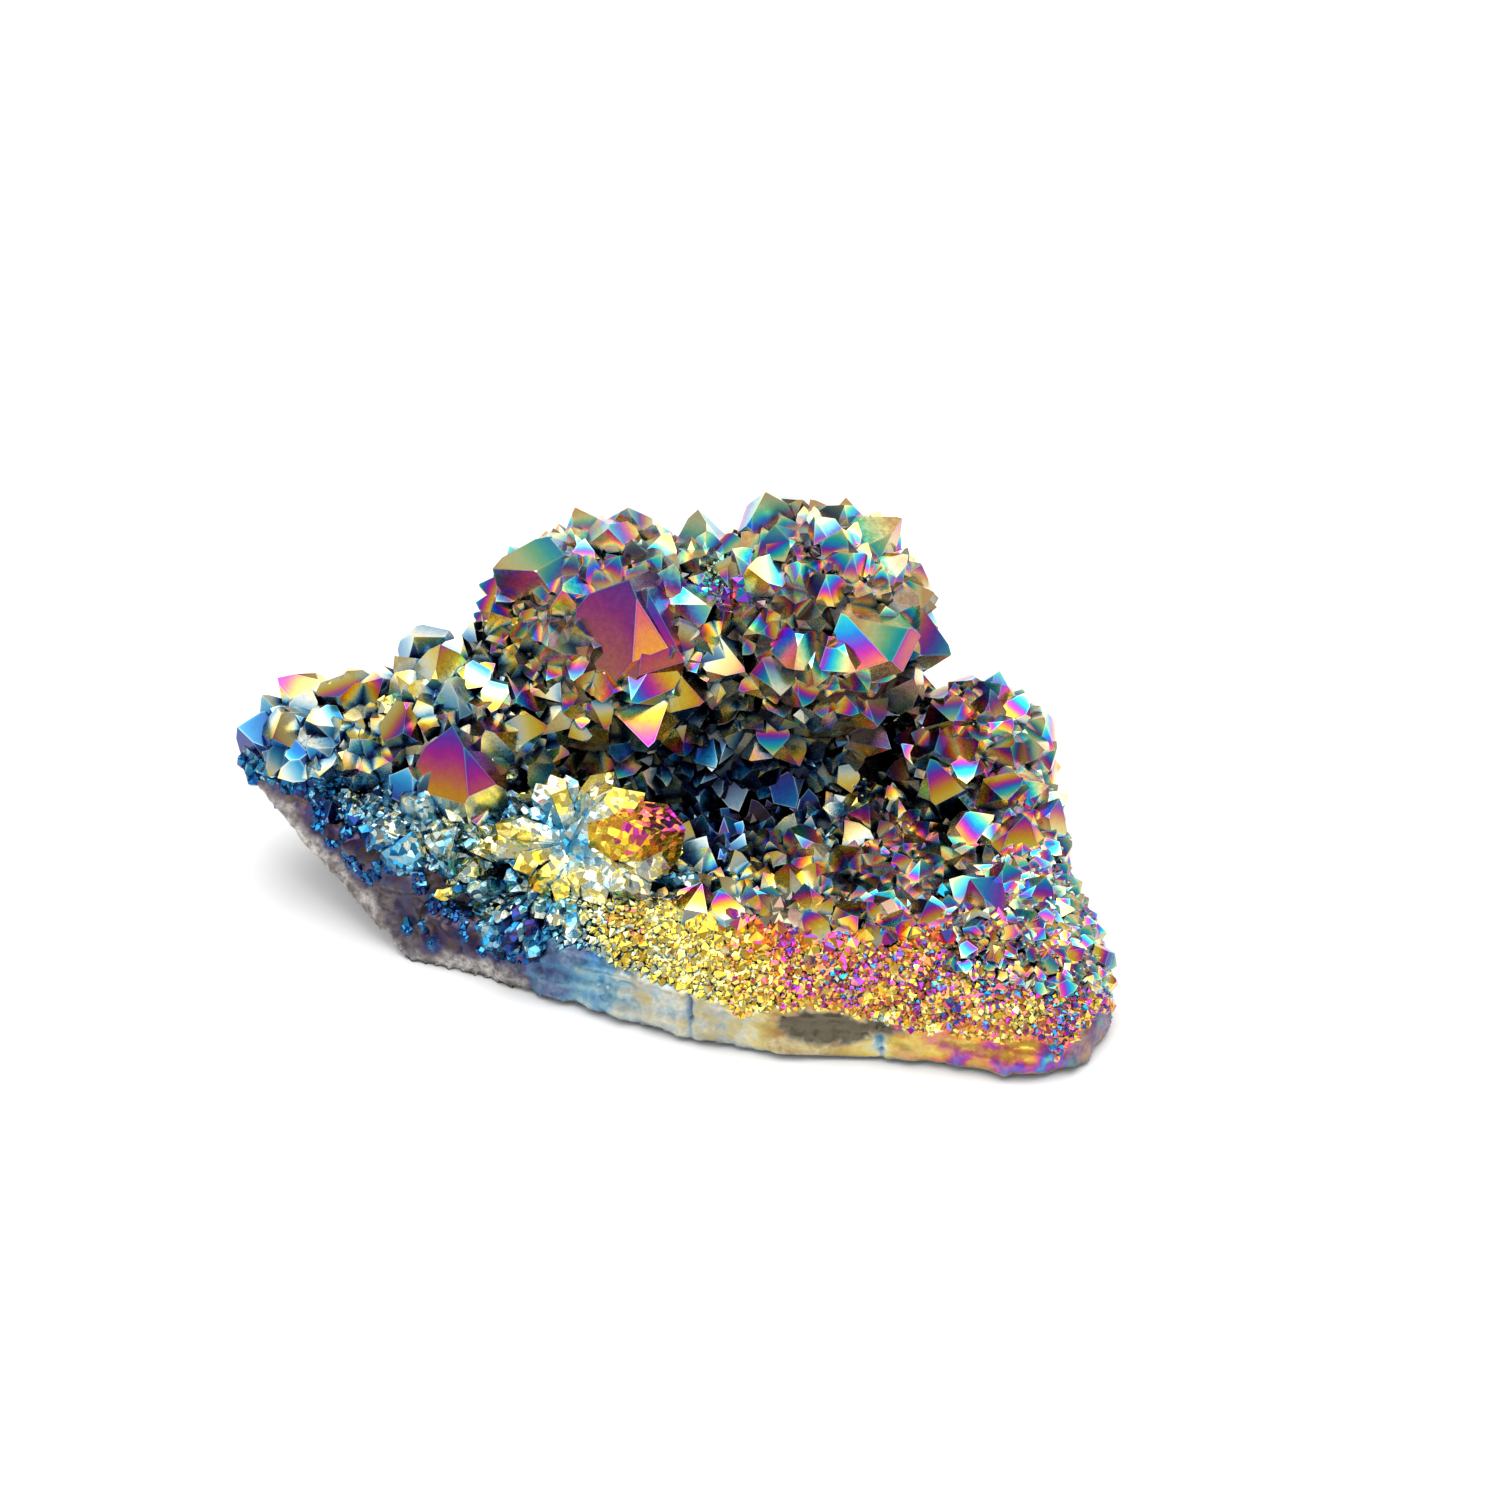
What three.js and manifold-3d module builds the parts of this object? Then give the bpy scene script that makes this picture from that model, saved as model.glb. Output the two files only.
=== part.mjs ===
// Titanium aura amethyst cluster: a palm-sized druse of coated quartz that grew as one piece.
// Millimetres, +Z up, +X to the right as seen from the front, the low side at -Y. It stands on z = 0.
import * as THREE from "three";
import { ConvexGeometry } from "three/addons/geometries/ConvexGeometry.js";
import { mergeVertices } from "three/addons/utils/BufferGeometryUtils.js";
import Module from "manifold-3d";

const wasm = await Module();
wasm.setup();

// Rock lumps, each an ellipsoid: centre x, y, z, radii along x, y, z, and the width of the crystals
// that cover it, 0 where the lump stays bare.
const lumps = {
  moundLeft: [-10, 21, 26.2, 17, 16, 14.5, 6.2],
  moundRight: [20, 21, 29, 13.5, 15, 15.5, 6],
  moundSaddle: [5, 24, 27, 11, 14, 11, 6],
  moundBack: [5, 25, 14, 27, 15.5, 14, 8.6],
  moundFoot: [5, 22, 9, 26, 14.5, 10, 8],
  armEnd: [-45.5, 7, 20.5, 11, 8, 5, 5.4],
  armRoot: [-30, 8, 19.5, 13, 12, 11, 6],
  armFace: [-32, -3, 10.5, 14, 10, 8.5, 7],
  fanBed: [-12, -8, 4.5, 12, 12, 7.5, 0],
  rimBack: [41, 15, 11, 10, 10, 9, 5.6],
  rimSide: [46, 0, 6, 6.5, 14, 9, 5.6],
  rimCorner: [46, -18, 4, 9, 14, 9, 6],
};

// The foot: its outline on the ground, anticlockwise from above, from the front left corner.
const footOutline = [
  [-36, -16],
  [-21, -21.5],
  [-10, -28],
  [3, -33.5],
  [15, -36.5],
  [30, -37],
  [46, -40.5],
  [53, -38],
  [57.5, -31],
  [56, -20],
  [51, -5],
  [52, 8],
  [50, 18],
  [43, 26],
  [34, 33],
  [20, 39],
  [5, 40],
  [-10, 36],
  [-22, 28],
  [-28, 14],
  [-32, 0],
];
const footHeight = 8;
const footRound = 3; // bevel of the foot's upper edge
const basinBack = 12; // the foot's top shows as the basin's floor up to here

// The front ridge, along which the fine crust lies: x, the crest's y and z, and the front edge's y.
const ridgeStations = [
  [-17, -13, 11, -23.2],
  [-6, -18, 12, -29.3],
  [5, -22, 13.5, -33.7],
  [14, -22.5, 15, -36],
  [24, -24, 15.5, -36.6],
  [33, -24, 14.5, -37.5],
  [42, -25.5, 14.5, -39.4],
  [50, -25, 12.5, -38.8],
  [55.5, -24, 9, -33.5],
];
const ridgeShoulder = 7; // height of the ridge's front edge
const ridgeSwell = 1.8; // how far the front slope bulges between crest and edge
const ridgeBack = 8; // from the crest back to the basin's floor
const ridgeCount = 34; // crystals on the ridge large enough to stand out of its fine crust

// The broken slab of rock under the left arm: its corners, from the ground up to the raised end.
const armSlabCorners = [
  [-36, -16, 0],
  [-21, -21.5, 0],
  [-31, 0, 0],
  [-18, 6, 0],
  [-44.6, -9, 8],
  [-49, -5, 11.5],
  [-53.6, -2, 15.4],
  [-58.5, 2, 17.7],
  [-59, 6, 21],
  [-54, 14, 17],
  [-28.6, -12, 11.4],
  [-22, -12, 10],
  [-40, 16, 12],
];

// The broken radial growth at the front left: a fan of blades round one point.
const fanCentre = [-12.5, -9.5, 14];
const fanLean = THREE.MathUtils.degToRad(53); // of the fan's plane from the upright
const fanBlades = 9;
const fanReach = 8.5; // length of a blade
const fanRise = 2.6; // height of a blade's ridge over its sides

// Stations [u, v] lie on a drawing plane that leans back by sightTilt. A station is carried to the
// rock along the line from an eye that stands sightReach in front of sightCentre.
const sightTilt = THREE.MathUtils.degToRad(36);
const sightReach = 480;
const sightCentre = new THREE.Vector3(10, 0, 23.3);
const stationOrigin = new THREE.Vector3(0, -2.8, 19.5);

// Chosen crystals: station u, v, width, how far the tip is shifted in u and v, and for some the turn
// in degrees of the first tip face round the axis, from +X towards up.
const chosenCrystals = {
  moundLeft: [
    [-6.6, 22.8, 11.5, 0.7, 4.4, 90],
    [-5, 13.8, 7, -0.9, -2.7],
    [-4.1, 8.4, 8, 0.5, -3.3],
    [-16, 18.4, 5.5, -1, 0],
    [-13, 14.9, 5, -0.5, -1],
    [-7.3, 2.7, 5.4, -0.3, -1.9],
    [0.5, 6.8, 4.5, 0.7, -3],
    [2.2, 23.6, 7, 2.8, 0.2],
    [-19.3, 27.7, 8, -5, 1.2],
    [-22.4, 25, 4.5, -1.5, -0.5],
    [-12.2, 34.5, 6, -1.3, 2.9],
    [-6.4, 35.4, 5, 0, 2],
    [-2.6, 33.1, 6, 0.5, 2.4],
    [-8.9, 32.2, 7, 0, 2],
    [-23.1, 22.6, 5, -1.5, 0.5],
    [-27.3, 20.3, 5, -1, 1.5],
    [-19.2, 20, 4.5, -0.5, 0],
    [2.8, 29.3, 5, 0.5, 1],
    [8.4, 31, 5, 1, 1],
  ],
  moundRight: [
    [12.7, 36.5, 7, -0.7, 2.9],
    [16, 36.8, 5, 1, 1.5],
    [21.9, 35.3, 5.5, 0.6, 2],
    [9, 33.8, 4.5, -0.7, 2.1],
    [31.4, 28, 5, 1.5, 1.5],
    [30.1, 23.4, 6.5, 2.5, 0.5],
    [24.9, 20.4, 8, -2.8, 2.4],
    [27.6, 22.3, 5, 0.5, 1.5],
    [20.1, 26.6, 4.5, 0, 1.5],
    [17.3, 28.6, 4.5, -0.5, 1],
    [23.2, 29.5, 4.5, 0.5, 1.5],
    [9.9, 22.3, 4.5, -1, 0],
    [16, 24.2, 4.5, 0, 0],
    [19, 22.6, 4.5, 0.5, 0],
    [16.4, 17.7, 5.5, -0.5, -2.2],
    [13.8, 14.2, 5.5, 0.3, -2.3],
    [18.6, 15, 4.5, 0, -1.5],
    [30.3, 14.2, 6, 1.5, 0],
    [14.6, 10, 4.5, 0, -1],
    [19.6, 10, 4.5, 0, -1],
    [13.1, 6.4, 4.5, 0, -2.5],
  ],
  leftArm: [
    [-50.4, 11.9, 6.5, -3, 2.7],
    [-57, 6.1, 6, -2.8, 1.7],
    [-44.6, 11.2, 5.5, 0, 0.5],
    [-43.8, 13.6, 6, -0.5, 1.8],
    [-39.3, 12.8, 5, 0.5, 1.5],
    [-31.4, 15.3, 6, 0, 3.5],
    [-36.1, 7.4, 5.5, 0, -0.5],
    [-52.6, 6.8, 5, -1, -0.5],
    [-41.8, 2, 4.5, 0, 0],
    [-37.7, 3.1, 5, 0, 0],
    [-28.9, 3.1, 9, -0.7, 4.7, 90],
    [-25.1, 6.4, 6, 0, 1],
    [-25.5, 16.6, 5, -0.5, 2],
    [-20.8, 16.1, 5, 0, 0],
    [-21.1, 11.5, 5.5, 0, -0.5],
    [-19.6, 2.6, 4.5, 0, 0],
    [-26.4, -4.1, 5, 0, -1],
    [-24.5, -8.4, 6, 0, -0.5],
    [-33.8, -2.4, 7, -0.5, 0],
    [-34, 18.5, 6, -1, 1.5],
  ],
  basin: [
    [-0.5, -8.1, 5, 2.5, 3.4],
    [0.1, -3.4, 5, 0.5, 1],
    [16.9, -8.1, 5, -1.9, 2.4],
    [25.3, -4.7, 6.5, 0.4, 2.5],
    [26.9, -0.8, 4.5, 0, 1],
    [16, -11.2, 5, -0.5, 1],
    [12.6, -8.4, 4.5, 0, 1],
    [30.3, -8.9, 4.5, 0, 1],
    [26.5, -10.4, 4.5, 0, 1],
    [23.1, -11.5, 5, 0, 0.5],
    [27.3, -13, 5, 0, 1],
    [21.1, -14.5, 4.5, 0, 1],
    [12.2, -19.6, 4.5, -0.5, 2],
    [20.7, -20.7, 5, 0, 1.5],
    [24.7, -18.2, 4.5, 0, 1],
    [28.6, -19.6, 5, 0, 1.2],
  ],
  rightRim: [
    [39, 14.7, 4.5, 0.5, 1.5],
    [42.8, 11.5, 5.5, 0.7, 2],
    [35.8, 10.7, 4.5, 0, 1],
    [37, 8, 6, 0, 0.5],
    [35.5, 4.7, 6, -1, 0],
    [40, 5.4, 5, 0.5, 0.5],
    [35.4, 0.9, 6, -1.5, 2.7],
    [35, -3.6, 6.5, 0.7, 2.4],
    [40.8, -5.8, 5, 1.8, 1.8],
    [44.2, -2, 5, 0, 0],
    [44.2, 4.2, 5, 0.5, 1],
    [44.9, 1.1, 5, 1, 0],
    [47.6, 0, 4.5, 1.5, 0.5],
    [48.2, 7.2, 5.5, 1, 2],
    [35.9, -10.9, 6.5, 0, 1],
    [40, -9.2, 5, 0, 1],
    [40.4, -11.8, 4.5, 0, 0],
    [43.1, -24.3, 5, 0, 1],
  ],
};

const originShift = new THREE.Vector2(0.6, -1.5); // brings the middle of the cluster's box over the origin
const faceSlope = THREE.MathUtils.degToRad(55); // between a tip face's normal and the crystal's axis
const tipHeight = 0.66; // height of a tip over its seat, in widths
const rootDepth = 0.6; // depth of a crystal's root under its seat, in widths
const fillSpacing = 0.84; // least distance between two crystals, in mean widths
const lowestSeat = 6.5; // the crust of crystals starts above the bare wall of the foot
const joinTolerance = 0.15; // vertices this close to a flat face or a straight edge join it
const brokenRise = 0.3; // broken crystals on the left arm's face are this low, in widths

const across = new THREE.Vector3(1, 0, 0);
const upward = new THREE.Vector3(0, Math.sin(sightTilt), Math.cos(sightTilt));
const toward = new THREE.Vector3(0, -Math.cos(sightTilt), Math.sin(sightTilt));
const eye = sightCentre.clone().addScaledVector(toward, sightReach);
const lumpList = Object.values(lumps);

// A repeatable number from 0 to 1 for item i and use j.
function chance(i, j) {
  const wave = 43758.5453 * Math.sin(12.9898 * i + 78.233 * j);
  return wave - Math.floor(wave);
}

function solidFrom(geometry) {
  const bare = geometry.clone();
  bare.deleteAttribute("normal");
  bare.deleteAttribute("uv");
  const merged = mergeVertices(bare, 1e-4);
  return new wasm.Manifold(
    new wasm.Mesh({
      numProp: 3,
      vertProperties: new Float32Array(merged.attributes.position.array),
      triVerts: new Uint32Array(merged.index.array),
    }),
  );
}

function hullOf(points) {
  return solidFrom(new ConvexGeometry(points));
}

// A point on the ridge's front slope: along from 0 to 1 by stations, down from crest 0 to edge 1.
function ridgeSeat(along, down) {
  const { lerp } = THREE.MathUtils;
  const place = along * (ridgeStations.length - 1);
  const from = Math.min(Math.floor(place), ridgeStations.length - 2);
  const [x, crestY, crestZ, frontY] = ridgeStations[from].map((value, i) =>
    lerp(value, ridgeStations[from + 1][i], place - from),
  );
  const swell = 4 * ridgeSwell * down * (1 - down);
  return new THREE.Vector3(x, lerp(crestY, frontY, down), lerp(crestZ, ridgeShoulder, down) + swell);
}

// Depth of a point in a lump: under 1 inside, 1 on its surface.
function depthIn(lump, point) {
  const dx = (point.x - lump[0]) / lump[3];
  const dy = (point.y - lump[1]) / lump[4];
  const dz = (point.z - lump[2]) / lump[5];
  return Math.hypot(dx, dy, dz);
}

// Where the sight line through station u, v first meets a lump or the foot's top. A line that passes
// over them all is brought down onto the lump that it passes closest to.
function seatAt(u, v) {
  const way = stationOrigin.clone().addScaledVector(across, u).addScaledVector(upward, v).sub(eye);
  const onFoot = eye.clone().addScaledVector(way, (footHeight - eye.z) / way.z);
  let nearest = onFoot.y < basinBack ? (footHeight - eye.z) / way.z : Infinity;
  let closest = { miss: Infinity };
  for (const [cx, cy, cz, rx, ry, rz] of lumpList) {
    const from = new THREE.Vector3((eye.x - cx) / rx, (eye.y - cy) / ry, (eye.z - cz) / rz);
    const along = new THREE.Vector3(way.x / rx, way.y / ry, way.z / rz);
    const a = along.dot(along);
    const b = along.dot(from);
    const miss = from.dot(from) - (b * b) / a;
    if (miss < 1) nearest = Math.min(nearest, (-b - Math.sqrt(a * (1 - miss))) / a);
    if (miss < closest.miss) {
      const spot = from.addScaledVector(along, -b / a).normalize();
      closest = { miss, seat: new THREE.Vector3(cx + rx * spot.x, cy + ry * spot.y, cz + rz * spot.z) };
    }
  }
  return nearest < Infinity ? eye.clone().addScaledVector(way, nearest) : closest.seat;
}

// A quartz crystal is the room inside six prism faces, six tip faces and a root plane. Three of the
// tip faces reach lower than the others, so that most tips look three-sided.
function crystalSolid({ seat, axis, width, height, item, turn }) {
  const guide = Math.abs(axis.z) > 0.9 ? new THREE.Vector3(1, 0, 0) : new THREE.Vector3(0, 0, 1);
  const side = guide.clone().cross(axis).normalize();
  const other = axis.clone().cross(side);
  const planes = [{ normal: axis.clone().negate(), offset: rootDepth * width }];
  for (let k = 0; k < 6; k++) {
    const angle = turn + (k * Math.PI) / 3;
    const out = side.clone().multiplyScalar(Math.cos(angle)).addScaledVector(other, Math.sin(angle));
    planes.push({ normal: out, offset: width * (0.58 + 0.14 * chance(item, 2 + k)) });
    const reach = k % 2 ? 1.04 + 0.6 * chance(item, 8 + k) : 0.98 + 0.06 * chance(item, 8 + k);
    planes.push({
      normal: out.clone().multiplyScalar(Math.sin(faceSlope)).addScaledVector(axis, Math.cos(faceSlope)),
      offset: height * reach * Math.cos(faceSlope),
    });
  }
  const corners = [];
  for (let i = 0; i < planes.length; i++)
    for (let j = i + 1; j < planes.length; j++)
      for (let k = j + 1; k < planes.length; k++) {
        const corner = cornerOf(planes[i], planes[j], planes[k]);
        if (corner && planes.every((p) => p.normal.dot(corner) < p.offset + 1e-6)) corners.push(corner);
      }
  return hullOf(corners.map((corner) => corner.add(seat)));
}

// The point where three planes meet.
function cornerOf(p, q, r) {
  const qr = q.normal.clone().cross(r.normal);
  const volume = p.normal.dot(qr);
  if (Math.abs(volume) < 1e-6) return null;
  const rp = r.normal.clone().cross(p.normal);
  const pq = p.normal.clone().cross(q.normal);
  qr.multiplyScalar(p.offset).addScaledVector(rp, q.offset).addScaledVector(pq, r.offset);
  return qr.divideScalar(volume);
}

function chosen() {
  return Object.values(chosenCrystals)
    .flat()
    .map(([u, v, width, tipU, tipV, turnDegrees], item) => {
      const shift = Math.hypot(tipU, tipV);
      const height = Math.max(tipHeight * width, 1.15 * shift);
      const axis = across.clone().multiplyScalar(tipU).addScaledVector(upward, tipV);
      axis.addScaledVector(toward, Math.sqrt(height * height - shift * shift)).normalize();
      const turn = THREE.MathUtils.degToRad(turnDegrees ?? 360 * chance(item, 1));
      return { seat: seatAt(u, v), axis, width, height, item, turn };
    });
}

// The rest of each lump is covered by crystals on a golden-angle spiral, each square to the rock but
// for a small lean, wherever there is still room.
function filled(already) {
  const all = [...already];
  lumpList.forEach((lump, number) => {
    const [cx, cy, cz, rx, ry, rz, grain] = lump;
    if (!grain) return;
    const mean = (rx + ry + rz) / 3;
    const tries = Math.round((16 * mean * mean) / (grain * grain));
    for (let i = 0; i < tries; i++) {
      const item = 1000 * (number + 1) + i;
      const level = 1 - (2 * i + 1) / tries;
      const round = 2.39996 * i;
      const flat = Math.sqrt(1 - level * level);
      const way = new THREE.Vector3(flat * Math.cos(round), flat * Math.sin(round), level);
      const seat = new THREE.Vector3(cx + rx * way.x, cy + ry * way.y, cz + rz * way.z);
      const axis = new THREE.Vector3(way.x / rx, way.y / ry, way.z / rz).normalize();
      const width = grain * (0.75 + 0.55 * chance(item, 20));
      if (seat.z < lowestSeat || axis.z < -0.35) continue;
      if (lumpList.some((other) => other !== lump && depthIn(other, seat) < 0.97)) continue;
      if (all.some((c) => c.seat.distanceTo(seat) < (fillSpacing * (c.width + width)) / 2)) continue;
      axis.x += 0.5 * (chance(item, 21) - 0.5);
      axis.y += 0.5 * (chance(item, 22) - 0.5);
      axis.z += 0.5 * (chance(item, 23) - 0.5);
      axis.normalize();
      const height = width * (lump === lumps.armFace ? brokenRise : 0.5 + 0.22 * chance(item, 24));
      all.push({ seat, axis, width, height, item, turn: 2 * Math.PI * chance(item, 1) });
    }
  });
  return all;
}

// Low crystals scattered over the ridge, larger towards its crest.
function ridgeCrystals() {
  return Array.from({ length: ridgeCount }, (_, i) => {
    const item = 500 + i;
    const down = 0.92 * ((i * 0.618034) % 1);
    const width = 5 - 1.6 * down + 0.8 * chance(item, 24);
    const axis = new THREE.Vector3(chance(item, 21) - 0.5, -0.25 - 0.5 * down - 0.3 * chance(item, 22), 1);
    const seat = ridgeSeat((i + 0.5) / ridgeCount, down);
    const turn = 2 * Math.PI * chance(item, 1);
    return { seat, axis: axis.normalize(), width, height: 0.42 * width, item, turn };
  });
}

function lumpSolid([cx, cy, cz, rx, ry, rz]) {
  const ball = new THREE.IcosahedronGeometry(1, 2);
  ball.scale(rx, ry, rz);
  ball.translate(cx, cy, cz);
  return solidFrom(ball);
}

function footSolid() {
  const outline = new THREE.Shape(footOutline.map(([x, y]) => new THREE.Vector2(x, y)));
  const foot = new THREE.ExtrudeGeometry(outline, {
    depth: footHeight,
    bevelThickness: footRound,
    bevelSize: footRound,
    bevelOffset: -footRound,
    bevelSegments: 2,
  });
  foot.translate(0, 0, -footRound);
  return solidFrom(foot);
}

// Each blade of the fan is a wedge from the fan's centre to two side corners and a raised ridge.
function fanSolids() {
  const centre = new THREE.Vector3(...fanCentre);
  const up = new THREE.Vector3(0, Math.sin(fanLean), Math.cos(fanLean));
  const out = new THREE.Vector3(0, -Math.cos(fanLean), Math.sin(fanLean));
  const place = (angle, radius, rise) =>
    centre
      .clone()
      .addScaledVector(across, radius * Math.cos(angle))
      .addScaledVector(up, radius * Math.sin(angle))
      .addScaledVector(out, rise);
  const blades = [];
  for (let i = 0; i < fanBlades; i++) {
    const middle = (2 * Math.PI * (i + 0.3 * chance(i, 31))) / fanBlades;
    const spread = Math.PI / fanBlades + 0.06;
    const reach = fanReach * (0.75 + 0.4 * chance(i, 32));
    blades.push(
      hullOf([
        place(0, 0, 0.4),
        place(middle - spread, reach, -1.5),
        place(middle + spread, reach, -1.5),
        place(middle, reach * 0.95, fanRise * (0.5 + 0.7 * chance(i, 33))),
        place(middle, 0.6 * reach, -6),
        place(0, 0, -5),
      ]),
    );
  }
  return blades;
}

function geometryOf(solid) {
  const mesh = solid.getMesh();
  const geometry = new THREE.BufferGeometry();
  geometry.setAttribute("position", new THREE.BufferAttribute(mesh.vertProperties, 3));
  geometry.setIndex(new THREE.BufferAttribute(mesh.triVerts, 1));
  return geometry;
}

function ridgeSolids() {
  const sections = ridgeStations.map(([x, crestY, crestZ, frontY]) => [
    new THREE.Vector3(x, crestY, crestZ),
    new THREE.Vector3(x, (crestY + frontY) / 2, (crestZ + ridgeShoulder) / 2 + ridgeSwell),
    new THREE.Vector3(x, frontY, ridgeShoulder),
    new THREE.Vector3(x, frontY, footHeight / 2),
    new THREE.Vector3(x, crestY + ridgeBack, footHeight - 1),
    new THREE.Vector3(x, crestY + ridgeBack, footHeight / 2),
  ]);
  return sections.slice(1).map((section, i) => hullOf([...sections[i], ...section]));
}

function clusterGeometry() {
  const crystals = [...filled(chosen()), ...ridgeCrystals()].map(crystalSolid);
  const armSlab = hullOf(armSlabCorners.map((corner) => new THREE.Vector3(...corner)));
  const rock = [...lumpList.map(lumpSolid), footSolid(), armSlab, ...ridgeSolids(), ...fanSolids()];
  const joined = geometryOf(wasm.Manifold.union([...rock, ...crystals]));
  const grown = solidFrom(joined).setTolerance(joinTolerance);
  const ground = solidFrom(new THREE.BoxGeometry(200, 200, 40).translate(0, 0, -20));
  // The outer body alone: a sealed void between crystals would be a body of its own.
  const bodies = grown.subtract(ground).decompose();
  const outer = geometryOf(bodies.reduce((a, b) => (b.volume() > a.volume() ? b : a)));
  return outer.translate(originShift.x, originShift.y, 0);
}

const cluster = new THREE.Mesh(
  clusterGeometry(),
  new THREE.MeshStandardMaterial({ color: "#b58a9c", metalness: 0.9, roughness: 0.2, flatShading: true }),
);
cluster.name = "amethyst_cluster";

const root = new THREE.Group();
root.add(cluster);
export default root;
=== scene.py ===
import math

import bmesh
import bpy
import numpy as np
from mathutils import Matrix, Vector


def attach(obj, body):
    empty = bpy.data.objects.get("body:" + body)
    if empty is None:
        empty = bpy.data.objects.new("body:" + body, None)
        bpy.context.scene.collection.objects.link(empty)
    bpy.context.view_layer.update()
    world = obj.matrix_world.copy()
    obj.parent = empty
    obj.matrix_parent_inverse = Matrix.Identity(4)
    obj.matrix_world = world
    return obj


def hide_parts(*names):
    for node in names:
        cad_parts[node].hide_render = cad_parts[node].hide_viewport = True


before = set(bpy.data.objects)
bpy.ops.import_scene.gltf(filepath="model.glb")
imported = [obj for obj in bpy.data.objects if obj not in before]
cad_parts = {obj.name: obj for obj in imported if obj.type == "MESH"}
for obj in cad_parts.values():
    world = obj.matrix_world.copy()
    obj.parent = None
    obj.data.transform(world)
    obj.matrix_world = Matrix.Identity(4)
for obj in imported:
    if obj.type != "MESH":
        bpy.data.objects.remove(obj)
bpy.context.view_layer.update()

print("frame loaded:", sorted(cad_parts))

# Everything is worked out in millimetres in the drawing frame, then shifted and scaled to metres.
originShift = np.array([0.6, -1.5, 0.0])
metresPerMm = 0.001


def chance(i, j):
    # repeatable number from 0 to 1 for item i and use j
    wave = 43758.5453 * np.sin(12.9898 * np.asarray(i, float) + 78.233 * np.asarray(j, float))
    return wave - np.floor(wave)


def unit(vectors):
    # each vector at length 1
    return vectors / np.maximum(np.linalg.norm(vectors, axis=-1, keepdims=True), 1e-12)


def smooth(low, high, value):
    # 0 at low, 1 at high and an S curve between, either way round
    t = np.clip((value - low) / (high - low), 0, 1)
    return t * t * (3 - 2 * t)


def latticeNoise(points, cell):
    # random values on a cubic lattice, blended smoothly between its corners, from -1 to 1
    place = points / cell
    low = np.floor(place)
    part = place - low
    part = part * part * (3 - 2 * part)
    total = np.zeros(len(points))
    for corner in np.ndindex(2, 2, 2):
        step = np.array(corner)
        weight = np.prod(np.where(step, part, 1 - part), axis=1)
        key = (low + step) @ np.array([127.1, 311.7, 74.7])
        wave = np.sin(key) * 43758.5453
        total += weight * (wave - np.floor(wave))
    return 2 * total - 1


def layeredNoise(points, cell, layers=3):
    # lattice noise at the cell size, half of it, a quarter of it and so on, each half as strong
    total = sum(0.5**k * latticeNoise(points + 17.3 * k, cell / 2**k) for k in range(layers))
    return total / sum(0.5**k for k in range(layers))


def cellDistance(points, cell):
    # distance to the nearest of one jittered point in each cube of the lattice, in cells
    place = points / cell
    low = np.floor(place)
    best = np.full(len(points), 9.0)
    for corner in np.ndindex(3, 3, 3):
        cube = low + np.array(corner) - 1
        key = cube @ np.array([127.1, 311.7, 74.7])
        jitter = np.stack([np.sin(key + k) * 43758.5453 for k in (0.0, 1.7, 3.1)], axis=1)
        spot = cube + 0.15 + 0.7 * (jitter - np.floor(jitter))
        best = np.minimum(best, np.linalg.norm(place - spot, axis=1))
    return best


# The rock's form is worked out as in the solid part, so the crystals stand on the same seats.
# Each lump: centre x, y, z, radii along x, y, z, and the width of the crystals on it
lumps = {
    "moundLeft": [-10, 21, 26.2, 17, 16, 14.5, 6.2],
    "moundRight": [20, 21, 29, 13.5, 15, 15.5, 6],
    "moundSaddle": [5, 24, 27, 11, 14, 11, 6],
    "moundBack": [5, 25, 14, 27, 15.5, 14, 8.6],
    "moundFoot": [5, 22, 9, 26, 14.5, 10, 8],
    "armEnd": [-45.5, 7, 20.5, 11, 8, 5, 5.4],
    "armRoot": [-30, 8, 19.5, 13, 12, 11, 6],
    "armFace": [-32, -3, 10.5, 14, 10, 8.5, 7],
    "fanBed": [-12, -8, 4.5, 12, 12, 7.5, 0],
    "rimBack": [41, 15, 11, 10, 10, 9, 5.6],
    "rimSide": [46, 0, 6, 6.5, 14, 9, 5.6],
    "rimCorner": [46, -18, 4, 9, 14, 9, 6],
}
lumpTable = np.array(list(lumps.values()), float)

footOutline = np.array([
    [-36, -16], [-21, -21.5], [-10, -28], [3, -33.5], [15, -36.5], [30, -37], [46, -40.5], [53, -38],
    [57.5, -31], [56, -20], [51, -5], [52, 8], [50, 18], [43, 26], [34, 33], [20, 39], [5, 40],
    [-10, 36], [-22, 28], [-28, 14], [-32, 0],
], float)

# x, the crest's y and z, and the front edge's y
ridgeStations = np.array([
    [-17, -13, 11, -23.2], [-6, -18, 12, -29.3], [5, -22, 13.5, -33.7], [14, -22.5, 15, -36],
    [24, -24, 15.5, -36.6], [33, -24, 14.5, -37.5], [42, -25.5, 14.5, -39.4], [50, -25, 12.5, -38.8],
    [55.5, -24, 9, -33.5],
], float)

armSlabCorners = [
    [-36, -16, 0], [-21, -21.5, 0], [-31, 0, 0], [-18, 6, 0], [-44.6, -9, 8], [-49, -5, 11.5],
    [-53.6, -2, 15.4], [-58.5, 2, 17.7], [-59, 6, 21], [-54, 14, 17], [-28.6, -12, 11.4],
    [-22, -12, 10], [-40, 16, 12],
]

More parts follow.
